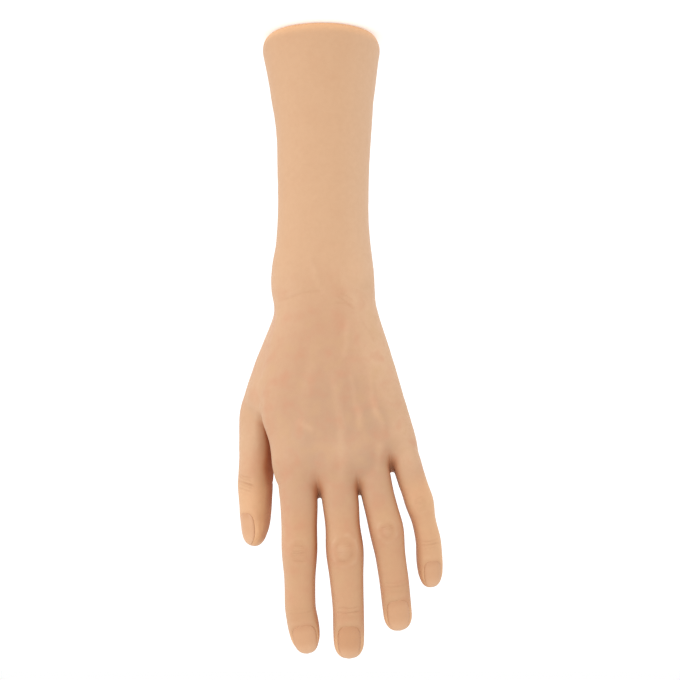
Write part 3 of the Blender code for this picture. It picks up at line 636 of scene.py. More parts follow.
@dataclass
class Arm:
    """The forearm, wrist and palm as one trunk of level sections, without the digits."""

    rim: tuple = (6.2, 11.0)
    web_depth: float = 8.0
    web_slope: float = 0.58
    web_drop: float = 1.0
    web_round: float = 4.0
    top_round: float = 5.0
    step: float = 0.5

    def __post_init__(self) -> None:
        """Samples the table of sections at even heights."""
        table = np.array(ARM_SECTIONS)
        heights = np.arange(0.0, table[-1, 0] + self.step, self.step)
        self.samples = curve(table[:, 0], table[:, 1:], heights)
        web = np.array(WEB_LINE)
        self.web_places = np.arange(web[0, 0], web[-1, 0], self.step)
        self.web_heights = curve(web[:, 0], web[:, 1:], self.web_places)[:, 0]

    def sections(self, x: Array, y: Array, z: Array) -> tuple[Array, Array, Array]:
        """The section that places belong to, less what the rounded rim takes off.

        Args:
            x: Its sign tells the thumb side from the little finger's.
            y: Its sign tells the back from the palm.
            z: Height.

        Returns:
            Reach along x and along y, and squareness.
        """
        place = np.clip(z / self.step, 0, len(self.samples) - 1.001)
        low = place.astype(int)
        part = (place - low)[:, None]
        found = self.samples[low] * (1 - part) + self.samples[low + 1] * part
        inset, height = self.rim
        under = np.clip(1 - z / height, 0, 1)
        cut = inset * (1 - np.sqrt(np.maximum(1 - under * under, 0)))
        found[:, :4] -= cut[:, None]
        thumb_side, little_side, back, palm, n = found.T
        return np.where(x > 0, thumb_side, little_side), np.where(y < 0, back, palm), n

    def distance(self, points: Array) -> Array:
        """Signed distance to the trunk.

        The size r of a place is the n-th root of (|x| / reach)^n + (|y| / reach)^n, and the
        distance is (r - 1) over the slope of r. The top is cut along the webs, with a slope
        to the back and a rounded drop to the palm.
        """
        x, y, z = points.T
        rx, ry, n = self.sections(x, y, z)
        px = np.maximum(np.abs(x) / rx, 1e-6)
        py = np.maximum(np.abs(y) / ry, 1e-6)
        size = (px ** n + py ** n) ** (1 / n)
        slope = np.sqrt((px ** (n - 1) / rx) ** 2 + (py ** (n - 1) / ry) ** 2) * size ** (1 - n)
        web = np.interp(x, self.web_places, self.web_heights)
        back = (z - web - self.web_slope * (y - self.web_depth)) / math.hypot(1, self.web_slope)
        palm = (z - web + self.web_drop * (y - self.web_depth)) / math.hypot(1, self.web_drop)
        return meet((size - 1) / slope, meet(back, palm, self.web_round), self.top_round)


@dataclass(frozen=True)
class Line:
    """A tendon, vein or crease drawn on the hand: its points as (x, z), height and width."""

    points: tuple
    height: float
    width: float
    side: Side = Side.BACK


TENDONS = (
    Line(((12.5, 236.0), (9.5, 210.0), (4.5, 188.0), (2.0, 174.0)), 0.16, 3.2),
    Line(((-11.2, 256.0), (-11.0, 240.0), (-10.5, 219.0), (-8.4, 205.0), (-5.0, 190.0)), 0.24, 2.4),
    Line(((-30.4, 243.0), (-32.2, 229.0), (-26.0, 206.0), (-14.0, 184.0)), 0.14, 3.0),
    Line(((-42.0, 230.0), (-36.0, 210.0), (-24.0, 190.0)), 0.14, 3.2),
    Line(((-31.9, 229.0), (-31.2, 236.0), (-30.0, 248.0)), 0.18, 2.0),
    Line(((37.2, 232.0), (36.0, 220.0), (34.5, 203.0), (30.0, 188.0)), 0.22, 2.2),
)
VEINS = (
    Line(((-14.6, 164.0), (-13.5, 176.5), (-12.2, 189.0)), 0.22, 1.8),
    Line(((-15.0, 190.0), (-16.6, 198.0), (-19.4, 212.0), (-21.6, 226.0)), 0.24, 1.7),
    Line(((-26.0, 191.0), (-27.4, 208.0), (-32.4, 221.0), (-34.2, 229.0)), 0.24, 1.6),
    Line(((12.6, 218.0), (8.0, 222.5), (3.0, 226.5)), 0.22, 1.7),
    Line(((8.2, 129.0), (3.5, 140.0), (-0.4, 148.5), (-4.2, 155.0)), 0.19, 1.8),
    Line(((-7.6, 133.0), (-13.5, 146.0), (-20.5, 161.0)), 0.19, 2.1),
    Line(((-20.0, 176.0), (-24.0, 184.0), (-31.0, 193.0)), 0.10, 1.8),
)
PALM_LINES = (
    Line(((25.0, 229.0), (13.0, 222.0), (4.0, 209.0), (-0.5, 192.0), (1.0, 174.0)), -0.75, 0.75, Side.PALM),
    Line(((25.0, 230.0), (11.0, 223.0), (-8.0, 213.0), (-26.0, 205.0)), -0.6, 0.65, Side.PALM),
    Line(((-46.0, 213.0), (-30.0, 223.0), (-12.0, 230.0), (0.0, 242.0)), -0.65, 0.7, Side.PALM),
    Line(((-9.0, 176.0), (-8.0, 196.0), (-10.0, 224.0)), -0.25, 0.6, Side.PALM),
    Line(((-27.0, 152.0), (-10.0, 154.5), (8.0, 154.0), (25.0, 150.0)), -0.5, 0.6, Side.PALM),
    Line(((-26.0, 146.5), (-8.0, 148.5), (10.0, 148.0), (25.0, 145.0)), -0.3, 0.6, Side.PALM),
)
WRIST_LINES = (
    Line(((5.2, 130.0), (0.8, 140.0), (-2.6, 148.0)), -0.05, 1.7),
    Line(((24.0, 154.4), (13.0, 152.2), (2.0, 150.0), (-4.0, 150.4)), -0.11, 0.75),
    Line(((-8.0, 152.6), (-13.0, 156.0), (-18.4, 160.4)), -0.14, 0.6),
    Line(((-9.4, 151.0), (-14.0, 153.0), (-17.8, 156.2)), -0.12, 0.5),
    Line(((-7.0, 156.6), (-12.0, 157.0), (-16.8, 158.8)), -0.12, 0.5),
    Line(((-20.0, 163.0), (-26.0, 171.0), (-29.0, 179.0)), -0.08, 1.0),
)


@dataclass(frozen=True)
class Mound:
    """A soft swelling or hollow of the hand: its middle (x, z), its height and half widths."""

    x: float
    z: float
    height: float
    across: float
    along: float
    side: Side = Side.PALM


MOUNDS = (
    Mound(-24.0, 141.0, 1.5, 8.0, 8.0, Side.BACK),
    Mound(-27.0, 188.0, 2.4, 14.0, 22.0),
    Mound(-6.0, 213.0, -1.8, 12.0, 16.0),
    Mound(12.0, 246.0, 0.9, 8.0, 8.0),
    Mound(-9.0, 246.0, 0.9, 8.0, 8.0),
    Mound(-28.0, 241.0, 0.9, 8.0, 8.0),
    Mound(-44.0, 232.0, 0.9, 7.0, 8.0),
)


class Hand:
    """The whole outside of the silicone as one signed distance, negative inside."""

    FINGER_SOFT = 0.9  # fillet between the fingers
    ROOT_SOFT = 5.0  # fillet between them and the palm
    THUMB_SOFT = (1.2, 9.0)  # fillet at the thumb, where it is free and where it is joined
    THUMB_FREE = (-24.0, -4.0)  # stations between which the thumb comes free
    WEB_FILL = ((15.0, 5.0, 172.0), 11.0, (30.0, 8.6, 202.0), 8.4)  # two ends, each with its radius
    WEB_SOFT = 8.0
    WEB_REACH = 100.0  # how far below the lowest web the fill is looked for
    RELIEF_TOP = (248.0, 260.0)  # heights between which the relief of the hand ends
    RIDGE_HEIGHT = 0.34  # height of a ridge whose painted highlight is full
    THUMB_RIDGE = 35.0  # a line that starts further out lies on the thumb's root
    SEAM_FADE = (-6.0, 2.0)  # a digit's relief comes between these distances from its seam
    FAR = 60.0  # stands for the distance to the fingers where none is near
    CAST_ROUNDS = 5
    CAST_STEP = 2.0  # the longest step along a ray
    CAST_STILL = 1e-5  # a step so short tells nothing about the slope
    CAST_SLOPES = (0.45, 1.6)  # limits of the slope that a step goes by

    def __init__(self, arm: Arm, digits: list[Digit]) -> None:
        """Keeps the trunk and the digits, with the thumb last, that have grown together."""
        self.arm, self.digits = arm, digits

    def arm_relief(self, points: Array) -> tuple[Array, Array, Array]:
        """Tendons, veins, creases and mounds of the palm and wrist: hills over the distance
        from each drawn line, which fade at its ends and towards the sides of the hand.

        Args:
            points: Places, one row each.

        Returns:
            How far the skin stands out there, how deep the creases are, and how strong the
            highlight painted on the ridges is.
        """
        x, y, z = points.T
        height = 0.05 * ripple(points, 11.0) + 0.08 * ripple(points, 27.0, 2.0)
        groove, pale = np.zeros((2, len(x)))
        wobble = 0.45 * ripple(points, 13.0, 3.0)
        clear = np.clip(0.75 + 0.35 * ripple(points, 31.0, 4.0), 0.3, 1.1)
        for line in TENDONS + VEINS + PALM_LINES + WRIST_LINES:
            mask = rise(y * line.side.value, 0.0, 7.0)
            if line.points[0][0] > self.THUMB_RIDGE:
                mask = rise(-y, -16.0, -10.0)
            if not mask.any():
                continue
            gap, share = to_line(x + wobble * 0.5, z + wobble, line.points)
            ends = rise(share, 0.0, 0.22) * fall(share, 0.78, 1.0)
            swell = line.height * hill(gap, line.width) * ends * mask
            height += np.maximum(swell, 0)
            # The tops of the ridges get a painted highlight.
            pale += np.maximum(swell, 0) / self.RIDGE_HEIGHT * clear
            groove += np.maximum(-swell, 0)
        for mound in MOUNDS:
            mask = rise(y * mound.side.value, 0.0, 9.0)
            height += mound.height * hill(x - mound.x, mound.across) * hill(z - mound.z, mound.along) * mask
        return height - groove, groove, pale

    def web_fill(self, points: Array) -> Array:
        """Signed distance to the flesh between the thumb and the hand: a rod from one point to
        another whose radius changes evenly."""
        start, wide, end, narrow = self.WEB_FILL
        start, way = np.array(start), np.array(end) - np.array(start)
        t = np.clip((points - start) @ way / (way @ way), 0, 1)
        return np.linalg.norm(points - start - t[:, None] * way, axis=1) - wide - (narrow - wide) * t

    def sense(self, points: Array) -> tuple[Array, Array, Array]:
        """Signed distance to the skin, with its folds.

        Args:
            points: Places, one row each.

        Returns:
            The distance, how deep the folds are there, and how strong the painted highlight is.
        """
        body = self.arm.distance(points)
        fold, pale = np.zeros((2, len(points)))

        def mark(where: Array, deep: Array, light: Array) -> None:
            """Keeps the deepest fold and the strongest painted highlight of each place."""
            fold[where] = np.maximum(fold[where], deep)
            pale[where] = np.maximum(pale[where], light)

        near = np.flatnonzero(points[:, 2] > self.arm.web_heights[0] - self.WEB_REACH)
        body[near] = merge(body[near], self.web_fill(points[near]), self.WEB_SOFT)
        together = np.full(len(points), self.FAR)
        for digit in self.digits[:-1]:
            inside, gap, deep, light, _ = self.near_digit(digit, points)
            together[inside] = merge(together[inside], gap, self.FINGER_SOFT)
            mark(inside, deep, light)
        body = merge(body, together, self.ROOT_SOFT)
        inside, gap, deep, light, station = self.near_digit(self.digits[-1], points)
        free, joined = self.THUMB_SOFT
        body[inside] = merge(body[inside], gap, free + (joined - free) * fall(station, *self.THUMB_FREE))
        mark(inside, deep, light)
        near = np.flatnonzero((np.abs(body) < SKIN_DEPTH[1]) & (points[:, 2] < self.RELIEF_TOP[1]))
        height, groove, light = self.arm_relief(points[near])
        on = fall(points[near, 2], *self.RELIEF_TOP)
        body[near] -= height * on * fall(np.abs(body[near]), *SKIN_DEPTH)
        mark(near, groove * on, light * on)
        return body, fold, pale

    def near_digit(self, digit: Digit, points: Array) -> tuple[Array, Array, Array, Array, Array]:
        """Signed distance to a digit for the places near it.

        Args:
            digit: The digit.
            points: Places, one row each.

        Returns:
            Which places are near, their distance, how deep the folds are there, how strong the
            painted highlight is, and their stations.
        """
        inside = digit.near(points)
        read = digit.read(points[inside])
        deep, light = np.zeros((2, len(inside)))
        gap = read.gap.copy()
        start, full = (digit.seam + shift for shift in self.SEAM_FADE)
        close = np.flatnonzero((np.abs(gap) < SKIN_DEPTH[1]) & (read.station > start))
        part = Reading(*(getattr(read, f.name)[close] for f in fields(Reading)))
        height, groove, pale = digit.relief(part, points[inside[close]])
        on = fall(np.abs(part.gap), *SKIN_DEPTH) * rise(part.station, start, full)
        gap[close] -= height * on
        deep[close], light[close] = groove * on, pale * on
        return inside, gap, deep, light, read.station

    def distance(self, points: Array) -> Array:
        """Signed distance to the skin alone."""
        return self.sense(points)[0]

    def normals(self, points: Array, step: float = 0.12) -> Array:
        """Directions out of the skin: the differences of the distance a small step both ways
        along each axis, scaled to length one."""
        shifts = np.eye(3) * step
        return unit(np.stack([self.distance(points + s) - self.distance(points - s) for s in shifts], axis=1))

    def cast(self, origins: Array, ways: Array, reach: Array) -> Array:
        """Where rays leave the skin, by the secant method on the signed distance.

        Args:
            origins: Where the rays start, inside.
            ways: Their directions, of length one.
            reach: A guess at how far each goes.

        Returns:
            The places, one row each.
        """
        far = reach.copy()
        value = self.distance(origins + ways * far[:, None])
        near = far - np.clip(value, -self.CAST_STEP, self.CAST_STEP)
        for _ in range(self.CAST_ROUNDS):
            found = self.distance(origins + ways * near[:, None])
            moved = near - far
            steady = np.abs(moved) > self.CAST_STILL
            slope = np.where(steady, (found - value) / np.where(steady, moved, 1.0), 1.0)
            far, value = near, found
            step = found / np.clip(slope, *self.CAST_SLOPES)
            near = near - np.clip(step, -self.CAST_STEP, self.CAST_STEP)
        return origins + ways * near[:, None]


# Putting arrays into meshes


def link(name: str, data: bpy.types.ID) -> bpy.types.Object:
    """Puts a mesh, camera or light into the scene as a new object at the origin."""
    made = bpy.data.objects.new(name, data)
    bpy.context.scene.collection.objects.link(made)
    return made


def put_mesh(name: str, points: Array, faces: Array, normals: Array | None = None) -> bpy.types.Object:
    """Makes an object from arrays, shaded smooth.

    Args:
        name: Name of the piece.
        points: Places in millimetres, one row each.
        faces: Indices, three or four a row; a fourth of -1 means a triangle.
        normals: Directions of the shading at the points, where they are known.

    Returns:
        The new object, at the origin, in the scene.
    """
    mesh = bpy.data.meshes.new(name)
    listed = [tuple(face[face >= 0]) for face in faces] if (faces < 0).any() else faces.tolist()
    mesh.from_pydata((points * MM).tolist(), [], listed)
    mesh.validate()
    mesh.shade_smooth()
    if normals is not None:
        mesh.normals_split_custom_set_from_vertices(normals.tolist())
    return link(name, mesh)


def put_numbers(piece: bpy.types.Object, **layers: Array) -> None:
    """Writes attributes of the vertices: one number, or one vector, for each."""
    for name, values in layers.items():
        flat = values.ndim == 1
        layer = piece.data.attributes.new(name, "FLOAT" if flat else "FLOAT_VECTOR", "POINT")
        layer.data.foreach_set("value" if flat else "vector", values.astype(np.float32).ravel())


def grid_faces(rows: int, columns: int, closed: bool) -> Array:
    """Faces of a grid whose point i, j is number i·columns + j.

    Args:
        rows: How many rows of points.
        columns: How many points in a row.
        closed: Whether each row is a ring.

    Returns:
        Four indices for each face, in the order that faces out where rows rise and rings
        turn from X to Y.
    """
    i, j = np.meshgrid(np.arange(rows - 1), np.arange(columns if closed else columns - 1), indexing="ij")
    i, j = i.ravel(), j.ravel()
    low, high, k = i * columns, (i + 1) * columns, (j + 1) % columns
    return np.stack([low + j, low + k, high + k, high + j], axis=1)


class Net:
    """A skin where no grid of two parameters can follow it: one point in each cell of a cubic
    lattice that the surface passes through, and a face round each lattice edge that it cuts."""

    BLOCK = 4  # cells along a side of the blocks that are looked at first
    BAND = 1.5  # how near to the surface, in blocks, every cell is read
    OFF = 9.0  # stands for any distance further away, where only the side counts
    PULL = 0.5  # the most that a point is moved to the surface at a time

    def __init__(self, hand: Hand, low: tuple, high: tuple, cell: float) -> None:
        """Reads the distance near the surface.

        Args:
            hand: The shape.
            low: Lowest corner of the space.
            high: Highest corner.
            cell: Size of a cell.
        """
        self.hand, self.cell, self.low = hand, cell, np.array(low, float)
        counts = np.ceil((np.array(high) - self.low) / cell / self.BLOCK).astype(int)
        block = cell * self.BLOCK
        centres = np.stack(np.meshgrid(*[np.arange(n) for n in counts], indexing="ij"), axis=-1)
        middle = self.low + (centres.reshape(-1, 3) + 0.5) * block
        rough = hand.distance(middle).reshape(counts)
        for axis in range(3):
            rough = np.repeat(rough, self.BLOCK, axis=axis)
        near = np.abs(rough) < self.BAND * block
        self.values = np.where(rough < 0, -self.OFF, self.OFF)
        self.values[near] = hand.distance(self.low + np.argwhere(near) * cell)

    def points(self) -> tuple[Array, Array]:
        """The mean of the cuts on each cell's edges, and the number of each cell's point."""
        inside = self.values < 0
        parts = [slice(0, -1), slice(1, None)]
        corners = [(a, b, c) for a in (0, 1) for b in (0, 1) for c in (0, 1)]
        count = sum(inside[parts[a], parts[b], parts[c]].astype(np.int8) for a, b, c in corners)
        passed = (count > 0) & (count < 8)
        number = np.full(passed.shape, -1)
        number[passed] = np.arange(passed.sum())
        cells = np.argwhere(passed)
        found = {c: self.values[tuple((cells + c).T)] for c in corners}
        total, cuts = np.zeros(cells.shape), np.zeros(len(cells))
        for c in corners:
            for axis in range(3):
                if c[axis]:
                    continue
                d = tuple(v + (i == axis) for i, v in enumerate(c))
                crossed = (found[c] < 0) != (found[d] < 0)
                drop = np.where(crossed, found[c] - found[d], 1.0)
                place = np.tile(np.array(c, float), (len(cells), 1))
                place[:, axis] += found[c] / drop
                total += place * crossed[:, None]
                cuts += crossed
        points = self.low + (cells + total / cuts[:, None]) * self.cell
        for _ in range(2):
            away = self.hand.distance(points)
            points = points - np.clip(away, -self.PULL, self.PULL)[:, None] * self.hand.normals(points)
        return points, number

    def faces(self, number: Array) -> Array:
        """Four indices round each lattice edge whose ends lie on different sides."""
        inside = self.values < 0
        found = []
        for axis in range(3):
            a, b = (axis + 1) % 3, (axis + 2) % 3
            near, far = [slice(None)] * 3, [slice(None)] * 3
            near[axis], far[axis] = slice(0, -1), slice(1, None)
            edges = np.argwhere(inside[tuple(near)] != inside[tuple(far)])
            edges = edges[(edges[:, a] > 0) & (edges[:, b] > 0)]
            edges = edges[(edges < np.array(number.shape)).all(axis=1)]
            step_a, step_b = np.eye(3, dtype=int)[a], np.eye(3, dtype=int)[b]
            around = [edges - step_a - step_b, edges - step_b, edges, edges - step_a]
            face = np.stack([number[tuple(cell.T)] for cell in around], axis=1)
            turned = ~inside[tuple(edges.T)]
            face[turned] = face[turned][:, ::-1]
            found.append(face)
        faces = np.vstack(found)
        return faces[(faces >= 0).all(axis=1)]


# Materials


class Term:
    """A number in a material. The operators on it add Math nodes."""

    def __init__(self, board: "Board", socket: bpy.types.NodeSocket) -> None:
        """Keeps the output socket that gives the number."""
        self.board, self.socket = board, socket

    def math(self, operation: str, *values: "Term | float") -> "Term":
        """A Math node on some values."""
        made = self.board.node("ShaderNodeMath", {"operation": operation}, dict(enumerate(values)))
        return Term(self.board, made.outputs[0])

    def __add__(self, other: "Term | float") -> "Term":
        """The sum."""
        return self.math("ADD", self, other)

    __radd__ = __add__

    def __mul__(self, other: "Term | float") -> "Term":
        """The product."""
        return self.math("MULTIPLY", self, other)

    __rmul__ = __mul__

    def __sub__(self, other: "Term | float") -> "Term":
        """The difference."""
        return self.math("SUBTRACT", self, other)

    def __rsub__(self, other: float) -> "Term":
        """The difference the other way round."""
        return self.math("SUBTRACT", other, self)

    def clipped(self) -> "Term":
        """The number kept between 0 and 1."""
        return self.math("MINIMUM", self.math("MAXIMUM", self, 0.0), 1.0)


class Board:
    """The nodes of one material, around its Principled shader."""

    def __init__(self, name: str, **constants: object) -> None:
        """Starts a material.

        Args:
            name: Name of the material.
            constants: What is the same all over, with spaces in socket names as underscores.
        """
        self.material = bpy.data.materials.new(name)
        self.material.use_nodes = True
        self.shader = self.material.node_tree.nodes["Principled BSDF"]
        self.finish(**constants)

    def node(self, kind: str, settings: dict, values: dict) -> bpy.types.Node:
        """Adds a node.

        Args:
            kind: Blender's name of the node type.
            settings: Its settings, set first.
            values: Values or Terms for its input sockets, by name or number.

        Returns:
            The node.
        """
        made = self.material.node_tree.nodes.new(kind)
        for name, value in settings.items():
            setattr(made, name, value)
        for name, value in values.items():
            self.feed(made.inputs[name], value)
        return made

    def feed(self, socket: bpy.types.NodeSocket, value: object) -> None:
        """Gives a socket a value, or links it to a Term or another socket."""
        if isinstance(value, Term):
            value = value.socket
        if isinstance(value, bpy.types.NodeSocket):
            self.material.node_tree.links.new(value, socket)
        else:
            socket.default_value = value

    def number(self, name: str) -> Term:
        """A number that each vertex of the piece carries."""
        made = self.node("ShaderNodeAttribute", {"attribute_name": name}, {})
        return Term(self, made.outputs["Fac"])

    def place(self, name: str | None) -> bpy.types.NodeSocket:
        """The place that a pattern is laid out on: a vector of the vertices, or the object's
        own coordinates where no name is given."""
        if name is None:
            return self.node("ShaderNodeTexCoord", {}, {}).outputs["Object"]
        return self.node("ShaderNodeAttribute", {"attribute_name": name}, {}).outputs["Vector"]

    def noise(self, place: bpy.types.NodeSocket, pitch: float, detail: float, rough: float = 0.5) -> Term:
        """Soft noise about 0: pitch is its size in millimetres, detail its finer layers."""
        values = {"Vector": place, "Scale": 1 / (pitch * MM), "Detail": detail, "Roughness": rough}
        made = self.node("ShaderNodeTexNoise", {}, values)
        return Term(self, made.outputs["Fac"]) - 0.5

    def mix(self, share: Term | float, a: object, b: object) -> bpy.types.NodeSocket:
        """A colour between a and b."""
        made = self.node("ShaderNodeMix", {"data_type": "RGBA"}, {0: share, 6: a, 7: b})
        return made.outputs[2]

    def bump(self, height: Term, depth: float, under: object = None) -> bpy.types.NodeSocket:
        """A normal that follows a height of so many millimetres, over an earlier one."""
        values = {"Height": height, "Distance": depth * MM, "Strength": 1.0}
        if under is not None:
            values["Normal"] = under
        return self.node("ShaderNodeBump", {}, values).outputs["Normal"]

    def finish(self, **links: object) -> bpy.types.Material:
        """Feeds sockets of the shader, and gives the material."""
        for socket, value in links.items():
            self.feed(self.shader.inputs[socket.replace("_", " ")], value)
        return self.material


def shade(r: float, g: float, b: float) -> tuple[float, float, float, float]:
    """A colour with full cover."""
    return (r, g, b, 1.0)


@dataclass(frozen=True)
class SkinFinish:
    """Soft matt silicone, tinted in the mould: warmer at the fingertips, cooler and pinker on
    the back of the hand. On top of that, painted shade darkens and reddens the folds, the
    hollows and the digits' sides away from the light, and painted highlights, sheen and
    bounce light brighten the ridges, the lit sides, the forearm's edges, the fingertips and the rim."""

    base: tuple = shade(0.598, 0.364, 0.213)
    hand: tuple = shade(0.538, 0.309, 0.184)
    warm: tuple = shade(0.568, 0.284, 0.142)
    cool: tuple = shade(0.455, 0.285, 0.183)
    # Painted shade in the creases.
    fold: tuple = shade(0.380, 0.160, 0.075)
    # Painted shade in the hollows, the webs and on the sides away from the key light: a redder colour, then
    # the darkest one.
    ember: tuple = shade(0.580, 0.215, 0.085)
    deep: tuple = shade(0.250, 0.050, 0.012)
    # Painted highlight and sheen on ridges, lit sides and the forearm's edges.
    pale: tuple = shade(0.650, 0.415, 0.258)
    # Painted light: bounce light on the rim, glowing fingertips and brighter digits.
    glow: tuple = shade(0.775, 0.465, 0.252)
    pink: tuple = shade(0.560, 0.245, 0.145)
    yellow: tuple = shade(0.560, 0.345, 0.180)
    fleck: tuple = shade(0.460, 0.245, 0.130)
    roughness: float = 0.52
    pore_depth: float = 0.035
    grain_depth: float = 0.07

    def material(self) -> bpy.types.Material:
        """The skin's material."""
        board = Board("skin_silicone_dressed", Specular_IOR_Level=0.25)
        place = board.place("skin_place")
        # The last of these numbers is the painted shade in hollows and on shaded sides.
        hand, warm, deep = (board.number(name + "_tone") for name in ("hand", "warm", "deep"))
        cloud = board.noise(place, 16.0, 2.0)
        speck = board.noise(place, 2.6, 3.0, 0.6)
        blush = board.noise(place, 8.0, 2.0) * (hand + warm)
        layers = (
            ((hand + 0.5 * cloud).clipped(), self.hand),
            ((warm + 0.4 * cloud).clipped() * 0.9, self.warm),
            ((board.number("cool_tone") * (1.0 + 1.2 * cloud)).clipped(), self.cool),
            # Painted highlight and sheen.
            (board.number("pale_tone"), self.pale),
            ((1.45 * blush).clipped(), self.pink),
            ((-1.5 * blush).clipped(), self.yellow),
            # Painted light: bounce light on the rim, glowing fingertips and brighter digits.
            (board.number("glow_tone"), self.glow),
            # Painted shade in the creases.
            ((board.number("fold_tone") * (1.0 + 0.6 * speck)).clipped(), self.fold),
            # Painted shade in the hollows, the webs and on the sides away from the key light.
            ((1.6 * deep).clipped(), self.ember),
            (deep, self.deep),
            ((0.10 + 0.30 * speck).clipped(), self.fleck),
        )
        colour = self.base
        for share, tint in layers:
            colour = board.mix(share, colour, tint)
        normal = board.bump(board.noise(place, 0.55, 2.0, 0.6), self.pore_depth)
        normal = board.bump(board.noise(place, 1.7, 3.0, 0.6), self.grain_depth, normal)
        rough = (self.roughness + 0.16 * speck - 0.10 * warm + 0.35 * deep).clipped()
        return board.finish(Base_Color=colour, Roughness=rough, Normal=normal)


@dataclass(frozen=True)
class NailFinish:
    """Moulded nails in a glossier silicone, paler to the free edge, with painted shade at the
    root and along the sides, where the plate meets the skin.
    """

    plate: tuple = shade(0.552, 0.282, 0.140)
    pale: tuple = shade(0.700, 0.420, 0.245)
    # Painted shade at the nail's root and sides.
    rim: tuple = shade(0.470, 0.215, 0.105)
    roughness: float = 0.33
    ridge_depth: float = 0.02

    def material(self) -> bpy.types.Material:
        """The nails' material."""
        board = Board("nail_silicone_dressed", Specular_IOR_Level=0.5)
        place = board.place("skin_place")
        cloud = board.noise(place, 3.0, 2.0)
        colour = board.mix((board.number("light_tone") + 0.2 * cloud).clipped(), self.plate, self.pale)
        # Painted shade at the nail's root and sides.
        colour = board.mix(board.number("rim_tone"), colour, self.rim)
        rough = (self.roughness + 0.12 * cloud).clipped()
        normal = board.bump(board.noise(place, 0.9, 2.0), self.ridge_depth)
        return board.finish(Base_Color=colour, Roughness=rough, Normal=normal)


@dataclass(frozen=True)
class PlainFinish:
    """A moulded, cast or plated finish of the pieces inside: a colour with a darker cloud, a
    grain of a pitch and depth in millimetres, and a roughness that varies."""

    colour: tuple
    dark: tuple
    roughness: float
    metallic: float
    pitch: float
    depth: float

    def material(self, slot: str) -> bpy.types.Material:
        """The finish's material, named for the slot that it fills."""
        board = Board(slot + "_dressed", Metallic=self.metallic)
        place = board.place(None)
        cloud = board.noise(place, 12.0, 3.0)
        grain = board.noise(place, self.pitch, 3.0, 0.6)
        colour = board.mix((0.35 + 1.2 * cloud + 0.3 * grain).clipped(), self.colour, self.dark)
        rough = (self.roughness + 0.25 * grain).clipped()
        return board.finish(Base_Color=colour, Roughness=rough, Normal=board.bump(grain, self.depth))


PLAIN_FINISHES = {
    "moulded_nylon": PlainFinish(shade(0.64, 0.62, 0.56), shade(0.52, 0.50, 0.44), 0.45, 0.0, 0.9, 0.04),
    "plated_steel": PlainFinish(shade(0.60, 0.61, 0.63), shade(0.45, 0.46, 0.48), 0.28, 1.0, 0.6, 0.02),
    "rigid_foam": PlainFinish(shade(0.80, 0.70, 0.50), shade(0.66, 0.55, 0.36), 0.88, 0.0, 0.7, 0.25),
    "base_plastic": PlainFinish(shade(0.66, 0.44, 0.29), shade(0.55, 0.35, 0.22), 0.55, 0.0, 0.8, 0.06),
}


# The sub-assemblies


